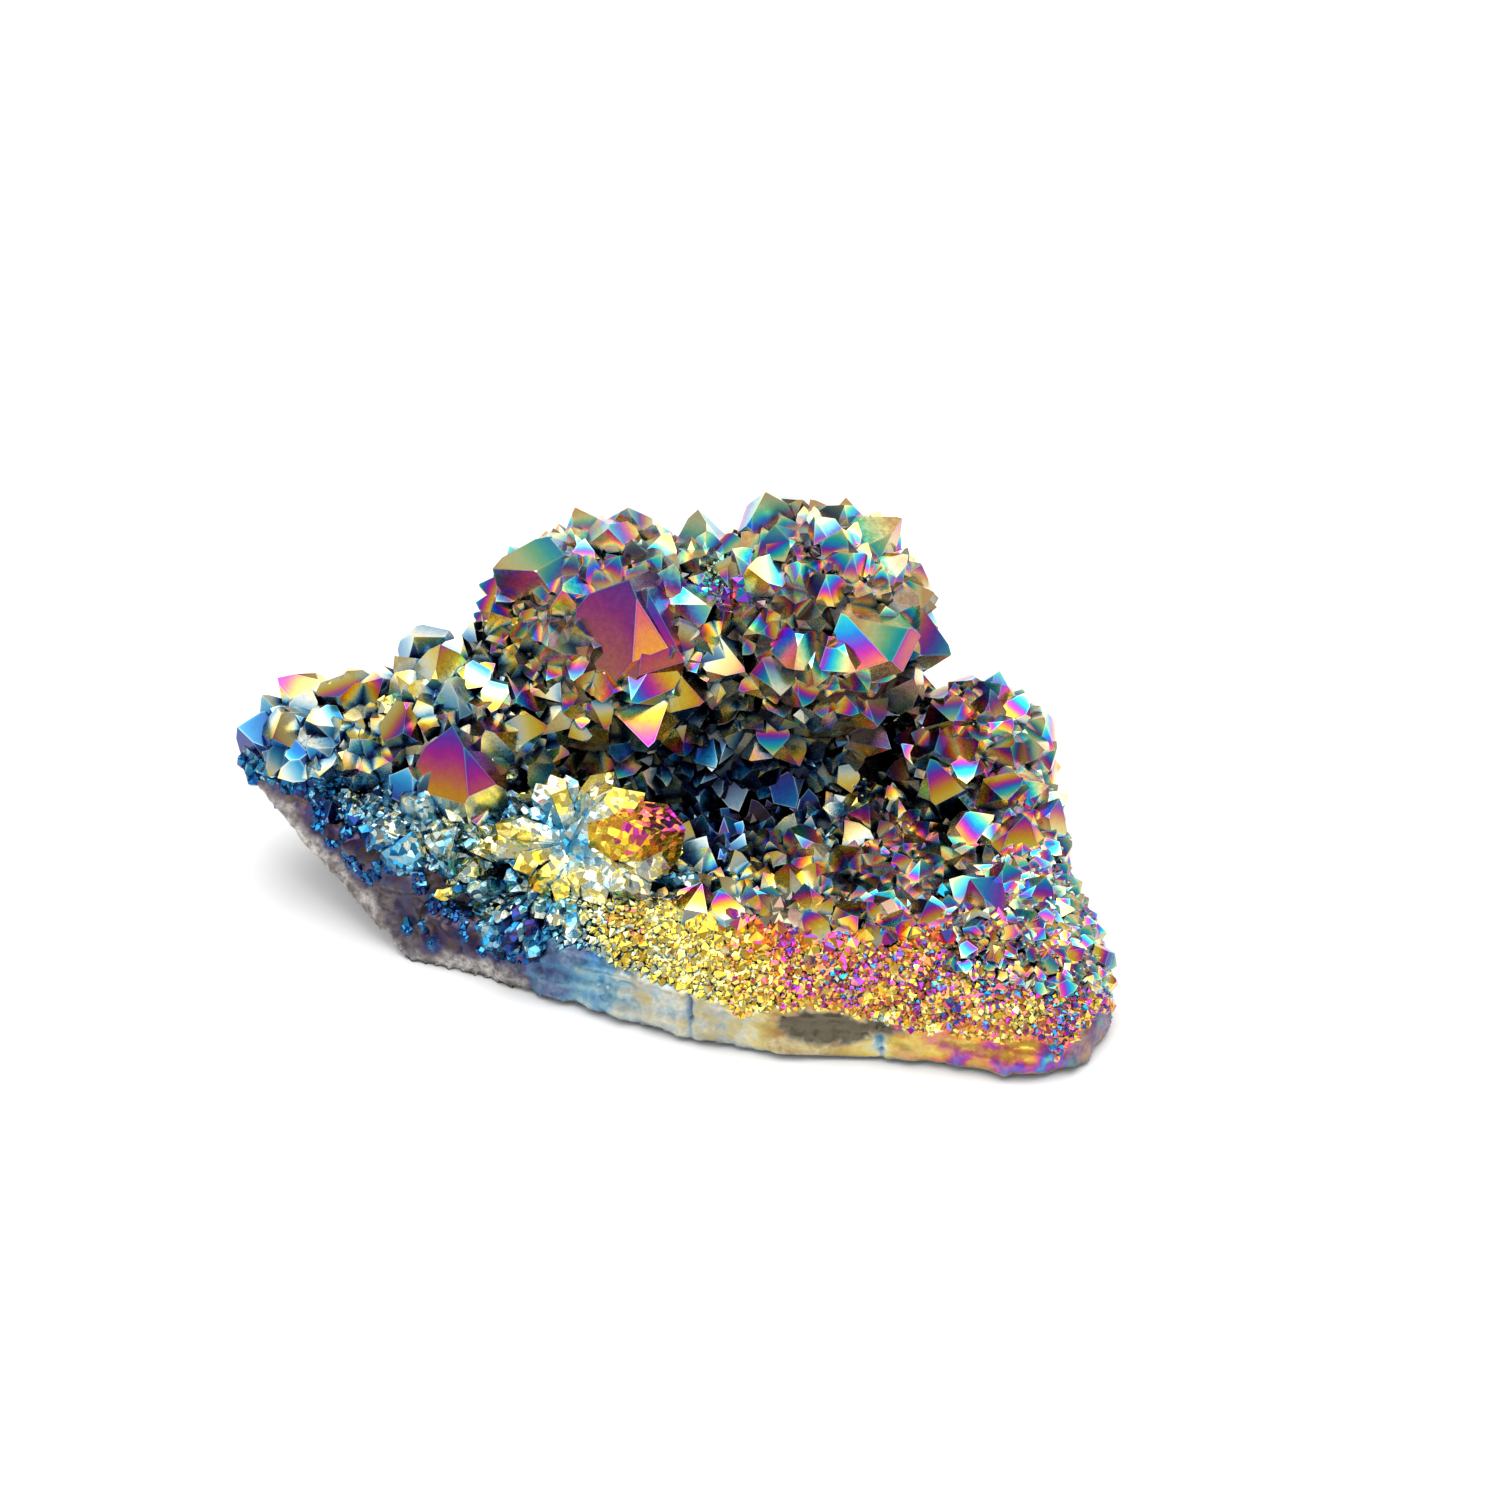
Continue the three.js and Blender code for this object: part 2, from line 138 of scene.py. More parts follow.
form = {
    "footHeight": 8.0,  # mm, the top of the foot
    "basinBack": 12.0,  # mm, sight lines that meet the foot beyond this y are let through
    "ridgeShoulder": 7.0,  # mm, height of the front slope's lower edge
    "ridgeSwell": 1.8,  # mm, how far the slope bulges
    "ridgeBack": 8.0,  # mm, how far the slope's body reaches behind its crest
    "ridgeCount": 34,  # crystals on the slope
    "lowestSeat": 6.5,  # mm, no full crystal stands lower
    "fillSpacing": 0.84,  # room between neighbours, as a share of their mean width
    "tipHeight": 0.66,  # height of a chosen crystal, as a share of its width
    "rootDepth": 0.6,  # how deep a root reaches, as a share of the width
    "brokenRise": 0.3,  # height of the broken ones under the arm, as a share of the width
    "faceSlope": math.radians(55),  # of the tip's faces
    "sightTilt": math.radians(36),
    "sightReach": 480.0,  # mm, from the eye to the sight's centre
    "sightCentre": np.array([10, 0, 23.3]),
    "stationOrigin": np.array([0, -2.8, 19.5]),  # where station u, v = 0, 0 lies
}
across = np.array([1.0, 0, 0])
upward = np.array([0, math.sin(form["sightTilt"]), math.cos(form["sightTilt"])])
toward = np.array([0, -math.cos(form["sightTilt"]), math.sin(form["sightTilt"])])
eye = form["sightCentre"] + form["sightReach"] * toward


def seatAt(u, v):
    # where the sight line through a station meets a lump or the foot's top, else the nearest lump
    way = form["stationOrigin"] + u[:, None] * across + v[:, None] * upward - eye
    foot = (form["footHeight"] - eye[2]) / way[:, 2]
    nearest = np.where((eye + way * foot[:, None])[:, 1] < form["basinBack"], foot, np.inf)
    centre, radii = lumpTable[:, :3], lumpTable[:, 3:6]
    start = (eye - centre) / radii
    along = way[:, None, :] / radii
    a = np.sum(along * along, axis=2)
    b = np.sum(along * start, axis=2)
    miss = np.sum(start * start, axis=1) - b * b / a
    reach = (-b - np.sqrt(np.maximum(a * (1 - miss), 0))) / a
    nearest = np.minimum(nearest, np.where(miss < 1, reach, np.inf).min(axis=1))
    best = miss.argmin(axis=1)
    rows = np.arange(len(u))
    spot = unit(start[best] + along[rows, best] * (-b / a)[rows, best][:, None])
    aside = centre[best] + radii[best] * spot
    hit = eye + way * np.where(np.isfinite(nearest), nearest, 0)[:, None]
    return np.where(np.isfinite(nearest)[:, None], hit, aside)


def stationOf(points):
    # where the sight line through a point crosses the drawing plane
    way = points - eye
    reach = ((form["stationOrigin"] - eye) @ toward) / (way @ toward)
    hit = eye + way * reach[:, None] - form["stationOrigin"]
    return hit @ across, hit @ upward


def ridgeSeat(along, down):
    # a point on the front slope, along by stations and down from crest 0 to edge 1
    place = np.clip(along * (len(ridgeStations) - 1), 0, len(ridgeStations) - 1)
    rows = np.arange(len(ridgeStations))
    x, crestY, crestZ, frontY = (np.interp(place, rows, ridgeStations[:, k]) for k in range(4))
    swell = 4 * form["ridgeSwell"] * down * (1 - down)
    y = crestY + (frontY - crestY) * down
    z = crestZ + (form["ridgeShoulder"] - crestZ) * down + swell
    return np.stack([x, y, z], axis=-1)


# rows: station u, v, width, tip shift in u and v, the coating's thickness from 0, bare, to 1, and for
# some the turn in degrees
chosenCrystals = {
    "moundLeft": [
        [-6.6, 22.8, 11.5, 0.7, 4.4, 0.685, 90], [-5, 13.8, 7, -0.9, -2.7, 0.58],
        [-4.1, 8.4, 8, 0.5, -3.3, 0.43], [-16, 18.4, 5.5, -1, 0, 0.70], [-13, 14.9, 5, -0.5, -1, 0.54],
        [-7.3, 2.7, 5.4, -0.3, -1.9, 0.56], [0.5, 6.8, 4.5, 0.7, -3, 0.47], [2.2, 23.6, 7, 2.8, 0.2, 0.72],
        [-19.3, 27.7, 8, -5, 1.2, 0.73], [-22.4, 25, 4.5, -1.5, -0.5, 0.54],
        [-12.2, 34.5, 6, -1.3, 2.9, 0.87], [-6.4, 35.4, 5, 0, 2, 0.77], [-2.6, 33.1, 6, 0.5, 2.4, 0.91],
        [-8.9, 32.2, 7, 0, 2, 0.69], [-23.1, 22.6, 5, -1.5, 0.5, 0.53], [-27.3, 20.3, 5, -1, 1.5, 0.45],
        [-19.2, 20, 4.5, -0.5, 0, 0.65], [2.8, 29.3, 5, 0.5, 1, 0.88], [8.4, 31, 5, 1, 1, 0.75],
    ],
    "moundRight": [
        [12.7, 36.5, 7, -0.7, 2.9, 0.88], [16, 36.8, 5, 1, 1.5, 0.92], [21.9, 35.3, 5.5, 0.6, 2, 0.84],
        [9, 33.8, 4.5, -0.7, 2.1, 0.85], [31.4, 28, 5, 1.5, 1.5, 0.70], [30.1, 23.4, 6.5, 2.5, 0.5, 0.95],
        [24.9, 20.4, 8, -2.8, 2.4, 0.90], [27.6, 22.3, 5, 0.5, 1.5, 0.91], [20.1, 26.6, 4.5, 0, 1.5, 0.78],
        [17.3, 28.6, 4.5, -0.5, 1, 0.77], [23.2, 29.5, 4.5, 0.5, 1.5, 0.80], [9.9, 22.3, 4.5, -1, 0, 0.77],
        [16, 24.2, 4.5, 0, 0, 0.67], [19, 22.6, 4.5, 0.5, 0, 0.60], [16.4, 17.7, 5.5, -0.5, -2.2, 0.72],
        [13.8, 14.2, 5.5, 0.3, -2.3, 0.69], [18.6, 15, 4.5, 0, -1.5, 0.72], [30.3, 14.2, 6, 1.5, 0, 0.55],
        [14.6, 10, 4.5, 0, -1, 0.52], [19.6, 10, 4.5, 0, -1, 0.52], [13.1, 6.4, 4.5, 0, -2.5, 0.59],
    ],
    "leftArm": [
        [-50.4, 11.9, 6.5, -3, 2.7, 0.49], [-57, 6.1, 6, -2.8, 1.7, 0.20], [-44.6, 11.2, 5.5, 0, 0.5, 0.52],
        [-43.8, 13.6, 6, -0.5, 1.8, 0.46], [-39.3, 12.8, 5, 0.5, 1.5, 0.55], [-31.4, 15.3, 6, 0, 3.5, 0.47],
        [-36.1, 7.4, 5.5, 0, -0.5, 0.52], [-52.6, 6.8, 5, -1, -0.5, 0.38], [-41.8, 2, 4.5, 0, 0, 0.44],
        [-37.7, 3.1, 5, 0, 0, 0.49], [-28.9, 3.1, 9, -0.7, 4.7, 0.65, 90], [-25.1, 6.4, 6, 0, 1, 0.52],
        [-25.5, 16.6, 5, -0.5, 2, 0.46], [-20.8, 16.1, 5, 0, 0, 0.45], [-21.1, 11.5, 5.5, 0, -0.5, 0.52],
        [-19.6, 2.6, 4.5, 0, 0, 0.37], [-26.4, -4.1, 5, 0, -1, 0.42], [-24.5, -8.4, 6, 0, -0.5, 0.44],
        [-33.8, -2.4, 7, -0.5, 0, 0.30], [-34, 18.5, 6, -1, 1.5, 0.30],
    ],
    "basin": [
        [-0.5, -8.1, 5, 2.5, 3.4, 0.42], [0.1, -3.4, 5, 0.5, 1, 0.32], [16.9, -8.1, 5, -1.9, 2.4, 0.66],
        [25.3, -4.7, 6.5, 0.4, 2.5, 0.68], [26.9, -0.8, 4.5, 0, 1, 0.58], [16, -11.2, 5, -0.5, 1, 0.60],
        [12.6, -8.4, 4.5, 0, 1, 0.57], [30.3, -8.9, 4.5, 0, 1, 0.62], [26.5, -10.4, 4.5, 0, 1, 0.64],
        [23.1, -11.5, 5, 0, 0.5, 0.54], [27.3, -13, 5, 0, 1, 0.72], [21.1, -14.5, 4.5, 0, 1, 0.69],
        [12.2, -19.6, 4.5, -0.5, 2, 0.64], [20.7, -20.7, 5, 0, 1.5, 0.72], [24.7, -18.2, 4.5, 0, 1, 0.55],
        [28.6, -19.6, 5, 0, 1.2, 0.68],
    ],
    "rightRim": [
        [39, 14.7, 4.5, 0.5, 1.5, 0.68], [42.8, 11.5, 5.5, 0.7, 2, 0.73], [35.8, 10.7, 4.5, 0, 1, 0.60],
        [37, 8, 6, 0, 0.5, 0.62], [35.5, 4.7, 6, -1, 0, 0.53], [40, 5.4, 5, 0.5, 0.5, 0.62],
        [35.4, 0.9, 6, -1.5, 2.7, 0.59], [35, -3.6, 6.5, 0.7, 2.4, 0.69], [40.8, -5.8, 5, 1.8, 1.8, 0.74],
        [44.2, -2, 5, 0, 0, 0.66], [44.2, 4.2, 5, 0.5, 1, 0.75], [44.9, 1.1, 5, 1, 0, 0.82],
        [47.6, 0, 4.5, 1.5, 0.5, 0.84], [48.2, 7.2, 5.5, 1, 2, 0.89], [35.9, -10.9, 6.5, 0, 1, 0.76],
        [40, -9.2, 5, 0, 1, 0.84], [40.4, -11.8, 4.5, 0, 0, 0.70], [43.1, -24.3, 5, 0, 1, 0.84],
    ],
}

# smaller ones that stand between them
betweenCrystals = [
    [-7.8, 5.8, 4, -1, -0.5, 0.43], [5, 3.8, 4, 0.5, -1.5, 0.25], [0.7, 19, 3.5, 0, -1.5, 0.57],
    [2.6, 16.4, 3.5, 1, 0, 0.45], [5.3, 17.7, 3.5, 0.5, 1, 0.40], [-0.7, 13, 3.6, 0.5, -1, 0.62],
    [1.9, 33.8, 4, 1, 1.5, 0.78], [-22.7, 19, 4, -0.5, 0, 0.60], [7.8, 26.9, 4, 0, -1.8, 0.62],
    [27.2, 28, 4, 0.5, 1, 0.93], [14.7, 30.8, 4, 0, -1, 0.70], [10.4, 11.6, 3.5, 0, -1.5, 0.55],
    [34.3, 18.9, 4, 1.5, 0.5, 0.54], [-42.7, 5.7, 4, -0.5, 0.5, 0.48], [-27.2, 13.4, 4, -0.5, -0.5, 0.40],
    [-24.5, 10.7, 4, 0, -1, 0.50], [-17.7, 13.6, 3.5, 0, 0, 0.57], [27.2, -2.8, 4, 0.5, 1, 0.48],
    [23.8, -0.7, 3.5, 0, 0.7, 0.52], [22.2, -6.6, 4, -0.5, 1, 0.69], [11.6, -12.3, 4, 0.5, 1.5, 0.50],
    [17.3, -16.4, 4, 0, 1, 0.44], [7, -19.6, 4, 0, 1, 0.64], [6, -13.5, 3.5, 0, 1, 0.45],
    [50.3, 1.8, 4, 1, 1, 0.88], [-4.6, 21.9, 9.4, 0.9, 4.3, 0.76, 90],
]

# the coating away from the chosen crystals: x, y, z, thickness, reach in mm
coatSpots = np.array([
    [-10, 36, 30, 0.80, 12], [22, 36, 32, 0.82, 12], [5, 40, 16, 0.62, 10], [28, 36, 14, 0.66, 10],
    [-20, 34, 14, 0.50, 10], [-40, 16, 18, 0.36, 8], [-52, 8, 22, 0.40, 5], [50, 18, 6, 0.70, 8],
    [56, -4, 4, 0.74, 7], [57, -26, 5, 0.70, 6], [50, -38, 5, 0.62, 5], [38, -37, 6, 0.57, 6],
    [24, -35, 8, 0.56, 6], [10, -33, 8, 0.50, 6], [0, -29, 9, 0.45, 6], [-9, -24, 9, 0.39, 6],
    [-18, -19, 7, 0.30, 5], [-32, -10, 9, 0.24, 6], [-42, -4, 13, 0.22, 6], [-50, 2, 18, 0.24, 4],
    [12, 4, 8, 0.14, 6], [0, 6, 9, 0.22, 5], [18, -4, 8, 0.24, 5], [21, 2, 9, 0.10, 5],
    [6, 1, 8, 0.12, 5], [-12, -9, 12, 0.46, 6],
    [54, -14, 6, 0.76, 5], [48, -24, 11, 0.78, 5], [36, -24, 14, 0.62, 5], [16, -24, 14, 0.58, 5],
])


def asCrystals(*columns):
    # a set of crystals: seats, unit axes, widths, heights, item numbers, turns and coatings
    keys = ("seat", "axis", "width", "height", "item", "turn", "coat")
    made = {key: np.asarray(column, float) for key, column in zip(keys, columns)}
    made["axis"] = unit(made["axis"])
    return made


def joined(*groups):
    # several sets as one, column by column
    return {key: np.concatenate([g[key] for g in groups]) for key in groups[0]}


def picked(group, mask):
    # the crystals for which the mask is true
    return {key: value[mask] for key, value in group.items()}


def turned(item):
    # how far each item is turned about its axis
    return 2 * math.pi * chance(item, 1)


def leaned(item, amount):
    # a lean along x, y and z, each up to half the amount either way
    return np.stack([amount * (chance(item, k) - 0.5) for k in (21, 22, 23)], axis=1)


def standing(rows, firstItem):
    # crystals from table rows: the axis leans so that the tip lies at the given shift
    u, v, width, tipU, tipV = (np.array([r[k] for r in rows], float) for k in range(5))
    item = firstItem + np.arange(len(rows))
    shift = np.hypot(tipU, tipV)
    height = np.maximum(form["tipHeight"] * width, 1.15 * shift)
    rise = np.sqrt(height**2 - shift**2)
    axis = tipU[:, None] * across + tipV[:, None] * upward + rise[:, None] * toward
    given = np.array([math.radians(r[6]) if len(r) > 6 else np.nan for r in rows])
    turn = np.where(np.isnan(given), turned(item), given)
    return asCrystals(seatAt(u, v), axis, width, height, item, turn, [r[5] for r in rows])


chosenRows = [row for group in chosenCrystals.values() for row in group]
chosen = standing(chosenRows, 0)
chosen["turn"][8] += math.pi / 6  # half a side, so that it shows a face
# these seats lie off the lumps, so they're moved until the tips are at their stations
offLump, moved = [10, 11, 19, 20, 59], 0.9
tips = stationOf((chosen["seat"] + chosen["axis"] * chosen["height"][:, None])[offLump])
wanted = np.array([[row[0] + row[3], row[1] + row[4]] for row in chosenRows])[offLump]
gap = wanted - np.stack(tips, axis=1)
chosen["seat"][offLump] += moved * (gap[:, :1] * across + gap[:, 1:] * upward)
between = standing(betweenCrystals, 600)
named = joined(chosen, between)


def coatAt(points):
    # thickness at a place: the mean of the named crystals' and spots' values, weighted by nearness
    centres = np.concatenate([named["seat"], coatSpots[:, :3]])
    values = np.concatenate([named["coat"], coatSpots[:, 3]])
    reach = np.concatenate([np.full(len(named["seat"]), 3.2), coatSpots[:, 4]])
    out = np.empty(len(points))
    for start in range(0, len(points), 20000):
        part = points[start:start + 20000]
        away = ((part[:, None, :] - centres) ** 2).sum(axis=2)
        weight = np.exp(-away / (2 * reach**2)) + 1e-4 / (1 + away)
        out[start:start + 20000] = (weight * values).sum(axis=1) / weight.sum(axis=1)
    return out


def onLumps(already):
    # the crystals that cover each lump: a golden-angle spiral of tries, kept where there is room
    seats, widths = [*already["seat"]], [*already["width"]]
    rows = []
    for number, (name, lump) in enumerate(lumps.items()):
        cx, cy, cz, rx, ry, rz, grain = lump
        if not grain:
            continue
        mean = (rx + ry + rz) / 3
        tries = int(math.floor(16 * mean * mean / (grain * grain) + 0.5))
        i = np.arange(tries)
        item = 1000 * (number + 1) + i
        level = 1 - (2 * i + 1) / tries
        around = 2.39996 * i
        flat = np.sqrt(1 - level * level)
        way = np.stack([flat * np.cos(around), flat * np.sin(around), level], axis=1)
        seat = np.array([cx, cy, cz]) + way * [rx, ry, rz]
        axis = unit(way / [rx, ry, rz])
        width = grain * (0.75 + 0.55 * chance(item, 20))
        depth = np.linalg.norm((seat[:, None, :] - lumpTable[:, :3]) / lumpTable[:, 3:6], axis=2)
        depth[:, number] = 9
        fits = (seat[:, 2] >= form["lowestSeat"]) & (axis[:, 2] >= -0.35) & (depth.min(axis=1) >= 0.97)
        leaning = unit(axis + leaned(item, 0.5))
        share = form["brokenRise"] if name == "armFace" else 0.5 + 0.22 * chance(item, 24)
        height = width * share
        for k in np.flatnonzero(fits):
            room = form["fillSpacing"] * (np.array(widths) + width[k]) / 2
            if (np.linalg.norm(np.array(seats) - seat[k], axis=1) < room).any():
                continue
            seats.append(seat[k])
            widths.append(width[k])
            rows.append([*seat[k], *leaning[k], width[k], height[k], item[k], turned(item[k])])
    rows = np.array(rows)
    return asCrystals(rows[:, :3], rows[:, 3:6], *rows[:, 6:10].T, coatAt(rows[:, :3]))


def onRidge():
    # crystals on the front slope: even steps along it, golden-ratio steps down it, smaller lower down
    i = np.arange(form["ridgeCount"])
    item = 500 + i
    down = 0.92 * ((i * 0.618034) % 1)
    width = 5 - 1.6 * down + 0.8 * chance(item, 24)
    forward = -0.25 - 0.5 * down - 0.3 * chance(item, 22)
    axis = np.stack([chance(item, 21) - 0.5, forward, np.ones(len(i))], axis=1)
    seat = ridgeSeat((i + 0.5) / len(i), down)
    return asCrystals(seat, axis, width, 0.42 * width, item, turned(item), coatAt(seat))


def evened(coat, start=0.84, share=0.6):
    # the thickest coats differ less
    return np.where(coat > start, start + share * (coat - start), coat)


# how a coating varies over a crystal's faces
plainFace = {
    "upGain": 0.25,  # thicker on faces that look up
    "downLoss": 0.6,  # thinner on those that look down
    "spread": 0.12,  # from face to face
    "drop": 0.36,  # thinner towards the root
    "dark": 0.12,  # the share of faces whose colour is darkened as a painted dark reflection
    "litEnds": 0.6,  # how far those painted dark faces are brightened again on the arm and on the right rim
    "calmFrom": 9.2,  # mm, crystals wider than this differ less
    "darkUpTo": 6.8,  # mm, and only narrower ones get the painted dark reflection fully
}


def sidesOf(crystals):
    # two unit directions across each axis, and the angles of the six sides round it
    axis = crystals["axis"]
    guide = np.where(np.abs(axis[:, 2:]) > 0.9, [1.0, 0, 0], [0, 0, 1.0])
    side = unit(np.cross(guide, axis))
    angle = crystals["turn"][:, None] + np.arange(6) * math.pi / 3
    return side, np.cross(axis, side), angle


def cornersOf(crystals):
    # each crystal is the room inside a root plane, six prism faces and six tip faces; its corners are
    # where three planes meet, (q x r) dp + (r x p) dq + (p x q) dr over p . (q x r), inside the others
    axis, width, height, item = (crystals[k] for k in ("axis", "width", "height", "item"))
    side, other, angle = sidesOf(crystals)
    k = np.arange(6)
    out = np.cos(angle)[..., None] * side[:, None] + np.sin(angle)[..., None] * other[:, None]
    grown = chance(item[:, None], 8 + k)
    reach = np.where(k % 2, 1.04 + 0.6 * grown, 0.98 + 0.06 * grown)
    slope = form["faceSlope"]
    tip = out * math.sin(slope) + axis[:, None] * math.cos(slope)
    normals = np.concatenate([-axis[:, None], out, tip], axis=1)
    offsets = np.concatenate([
        form["rootDepth"] * width[:, None],
        width[:, None] * (0.58 + 0.14 * chance(item[:, None], 2 + k)),
        height[:, None] * reach * math.cos(slope),
    ], axis=1)
    triples = np.array([(a, b, c) for a in range(13) for b in range(a + 1, 13) for c in range(b + 1, 13)])
    p, q, r = (normals[:, triples[:, n]] for n in range(3))
    dp, dq, dr = (offsets[:, triples[:, n], None] for n in range(3))
    volume = np.einsum("ijk,ijk->ij", p, np.cross(q, r))
    safe = np.where(np.abs(volume) < 1e-6, 1, volume)
    corner = (np.cross(q, r) * dp + np.cross(r, p) * dq + np.cross(p, q) * dr) / safe[..., None]
    inside = np.einsum("ijk,ilk->ijl", corner, normals) < offsets[:, None] + 1e-6
    good = (np.abs(volume) > 1e-6) & inside.all(axis=2)
    return normals, triples, corner, good


def crystalMesh(crystals, face=None):
    # each face is a fan round its middle, so that a corner value can hold the distance from the nearest
    # edge; coating = the crystal's own * facing + a share from face to face, less towards the root
    face = {**plainFace, **(face or {})}
    seat, axis, width, height, item = (crystals[k] for k in ("seat", "axis", "width", "height", "item"))
    normals, triples, corner, good = cornersOf(crystals)
    side, other, _ = sidesOf(crystals)
    rows = np.arange(len(seat))
    vertexOf = np.full(good.shape, -1)
    vertexOf[good] = np.arange(good.sum())
    points = [corner[good] + seat[np.nonzero(good)[0]]]
    filled = good.sum()
    tris, edges, coats, shades = [], [], [], []
    station = stationOf(seat)[0]
    lit = face["litEnds"] * (smooth(-14, -24, station) + smooth(30, 37, station))
    heightShare = np.einsum("ijk,ik->ij", corner, axis) / height[:, None]
    # faces that look up are coated thicker, and the mean of the six tip faces keeps the given value
    lift = normals[:, :, 2] - 0.5
    facing = 1 + np.where(lift > 0, face["upGain"], face["downLoss"]) * lift
    facing = np.clip(facing / facing[:, 7:].mean(axis=1, keepdims=True), 0.55, 1.25)
    calm = width > face["calmFrom"]
    facing = np.where(calm[:, None], 1 + 0.35 * (facing - 1), facing)
    drop = face["drop"] * np.clip(1.6 - width / 8, 0.35, 1) * np.where(calm, 0.8, 1)
    facing /= 1 - 0.5 * drop[:, None]
    for plane in range(13):
        own = np.flatnonzero((triples == plane).any(axis=1))
        mask = good[:, own]
        sides = mask.sum(axis=1)
        spots = corner[:, own]
        middle = (spots * mask[..., None]).sum(axis=1) / np.maximum(sides, 1)[:, None]
        n = normals[:, plane]
        first = unit(np.cross(n, side + 0.37 * axis + 0.11 * other))
        second = np.cross(n, first)
        away = spots - middle[:, None]
        around = np.arctan2((away * second[:, None]).sum(axis=2), (away * first[:, None]).sum(axis=2))
        order = np.argsort(np.where(mask, around, 9), axis=1)
        most = sides.max()
        ring = np.take_along_axis(vertexOf[:, own], order, axis=1)[:, :most]
        ringSpots = np.take_along_axis(spots, order[..., None], axis=1)[:, :most]
        ringRise = np.take_along_axis(heightShare[:, own], order, axis=1)[:, :most]
        has = sides >= 3
        middleId = np.where(has, filled + np.cumsum(has) - 1, -1)
        points.append(middle[has] + seat[has])
        filled += has.sum()
        middleRise = (middle * axis).sum(axis=1) / height
        base = crystals["coat"] * facing[:, plane] + face["spread"] * (chance(item, 40 + plane) - 0.5)
        # a share of the smaller ones' faces get a painted dark reflection: their colour is darkened as if
        # they mirrored something dark
        tone = chance(item, 70 + plane) / face["dark"]
        tone = np.where(tone < 1, 0.2 + 0.3 * tone, np.where(tone < 3.2, 0.72, 1))
        tone = np.where(width < face["darkUpTo"], tone, np.maximum(tone, 0.8))
        tone += lit * (1 - tone)
        for j in range(most):
            use = has & (j < sides)
            nxt = np.where(j + 1 < sides, j + 1, 0)
            a, b = ring[:, j], ring[rows, nxt]
            pa, pb = ringSpots[:, j], ringSpots[rows, nxt]
            gap = np.linalg.norm(np.cross(unit(pb - pa), middle - pa), axis=1)
            tris.append(np.stack([a, b, middleId], axis=1)[use])
            edges.append(np.stack([0 * gap, 0 * gap, gap], axis=1)[use])
            # the painted dark reflection goes out as each corner's shade
            shades.append(np.repeat(tone[use], 3))
            rise = np.stack([ringRise[:, j], ringRise[rows, nxt], middleRise], axis=1)
            kept = 1 - drop[:, None] * (1 - np.clip(rise, -0.6, 1))
            coats.append(evened(base[:, None] * kept)[use])
    return {
        "points": np.concatenate(points),
        "tris": np.concatenate(tris),
        "edge": np.concatenate(edges).ravel(),
        "coat": np.concatenate(coats).ravel(),
        "shade": np.concatenate(shades),
    }


def grainMesh(crystals):
    # a small crystal: a root point, a ring of six at the root, a ring of six at the shoulder and a tip;
    # the shoulder's heights and the tip's place vary, so that each face turns its own way
    seat, axis, width, height, item = (crystals[k] for k in ("seat", "axis", "width", "height", "item"))
    side, other, angle = sidesOf(crystals)
    k = np.arange(6)
    radius = width[:, None] * (0.42 + 0.16 * chance(item[:, None], 2 + k))
    ring = (np.cos(angle) * radius)[..., None] * side[:, None]
    ring = ring + (np.sin(angle) * radius)[..., None] * other[:, None]
    shoulder = height[:, None] * (0.15 + 0.4 * chance(item[:, None], 8 + k) * (k % 2))
    lean = 0.25 * width[:, None] * (np.stack([chance(item, 15), chance(item, 16)], axis=1) - 0.5)
    tip = axis * height[:, None] + lean[:, :1] * side + lean[:, 1:] * other
    root = -form["rootDepth"] * width[:, None] * axis
    corners = np.concatenate([
        root[:, None], 0.8 * ring + root[:, None], ring + shoulder[..., None] * axis[:, None], tip[:, None],
    ], axis=1) + seat[:, None]
    nxt = (k + 1) % 6
    pattern = np.concatenate([
        np.stack([0 * k, 1 + nxt, 1 + k], axis=1),
        np.stack([1 + k, 1 + nxt, 7 + nxt], axis=1),
        np.stack([1 + k, 7 + nxt, 7 + k], axis=1),
        np.stack([7 + k, 7 + nxt, 13 + 0 * k], axis=1),
    ])
    tris = (pattern[None] + 14 * np.arange(len(seat))[:, None, None]).reshape(-1, 3)
    points = corners.reshape(-1, 3)
    a, b, c = points[tris[:, 0]], points[tris[:, 1]], points[tris[:, 2]]
    n = unit(np.cross(b - a, c - a))
    own = np.repeat(np.arange(len(seat)), len(pattern))
    coat = crystals["coat"][own] * (1 + 0.26 * (n[:, 2] - 0.5))
    coat += 0.08 * (chance(item[own], 40 + np.tile(np.arange(len(pattern)) % 6, len(seat))) - 0.5)
    return {"points": points, "tris": tris, "coat": np.repeat(evened(coat), 3)}


def putMesh(name, made, material, isSmooth=False):
    # arrays of points and triangles, with the corner values, into an object at the origin
    mesh = bpy.data.meshes.new(name)
    points = (made["points"] + originShift) * metresPerMm
    points[:, 2] = np.maximum(points[:, 2], 0)
    tris = made["tris"]
    mesh.vertices.add(len(points))
    mesh.vertices.foreach_set("co", points.astype(np.float32).ravel())
    mesh.loops.add(3 * len(tris))
    mesh.loops.foreach_set("vertex_index", tris.astype(np.int32).ravel())
    mesh.polygons.add(len(tris))
    mesh.polygons.foreach_set("loop_start", np.arange(0, 3 * len(tris), 3, dtype=np.int32))
    mesh.polygons.foreach_set("use_smooth", np.full(len(tris), isSmooth))
    for key in ("coat", "edge", "bare", "shade", "crush"):
        if key in made:
            layer = mesh.attributes.new(key, "FLOAT", "CORNER")
            layer.data.foreach_set("value", made[key].astype(np.float32))
    mesh.update(calc_edges=True)
    mesh.materials.append(material)
    piece = bpy.data.objects.new(name, mesh)
    bpy.context.collection.objects.link(piece)
    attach(piece, "root")
    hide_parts("amethyst_cluster")
    print(f"{name}: {len(tris)} triangles")


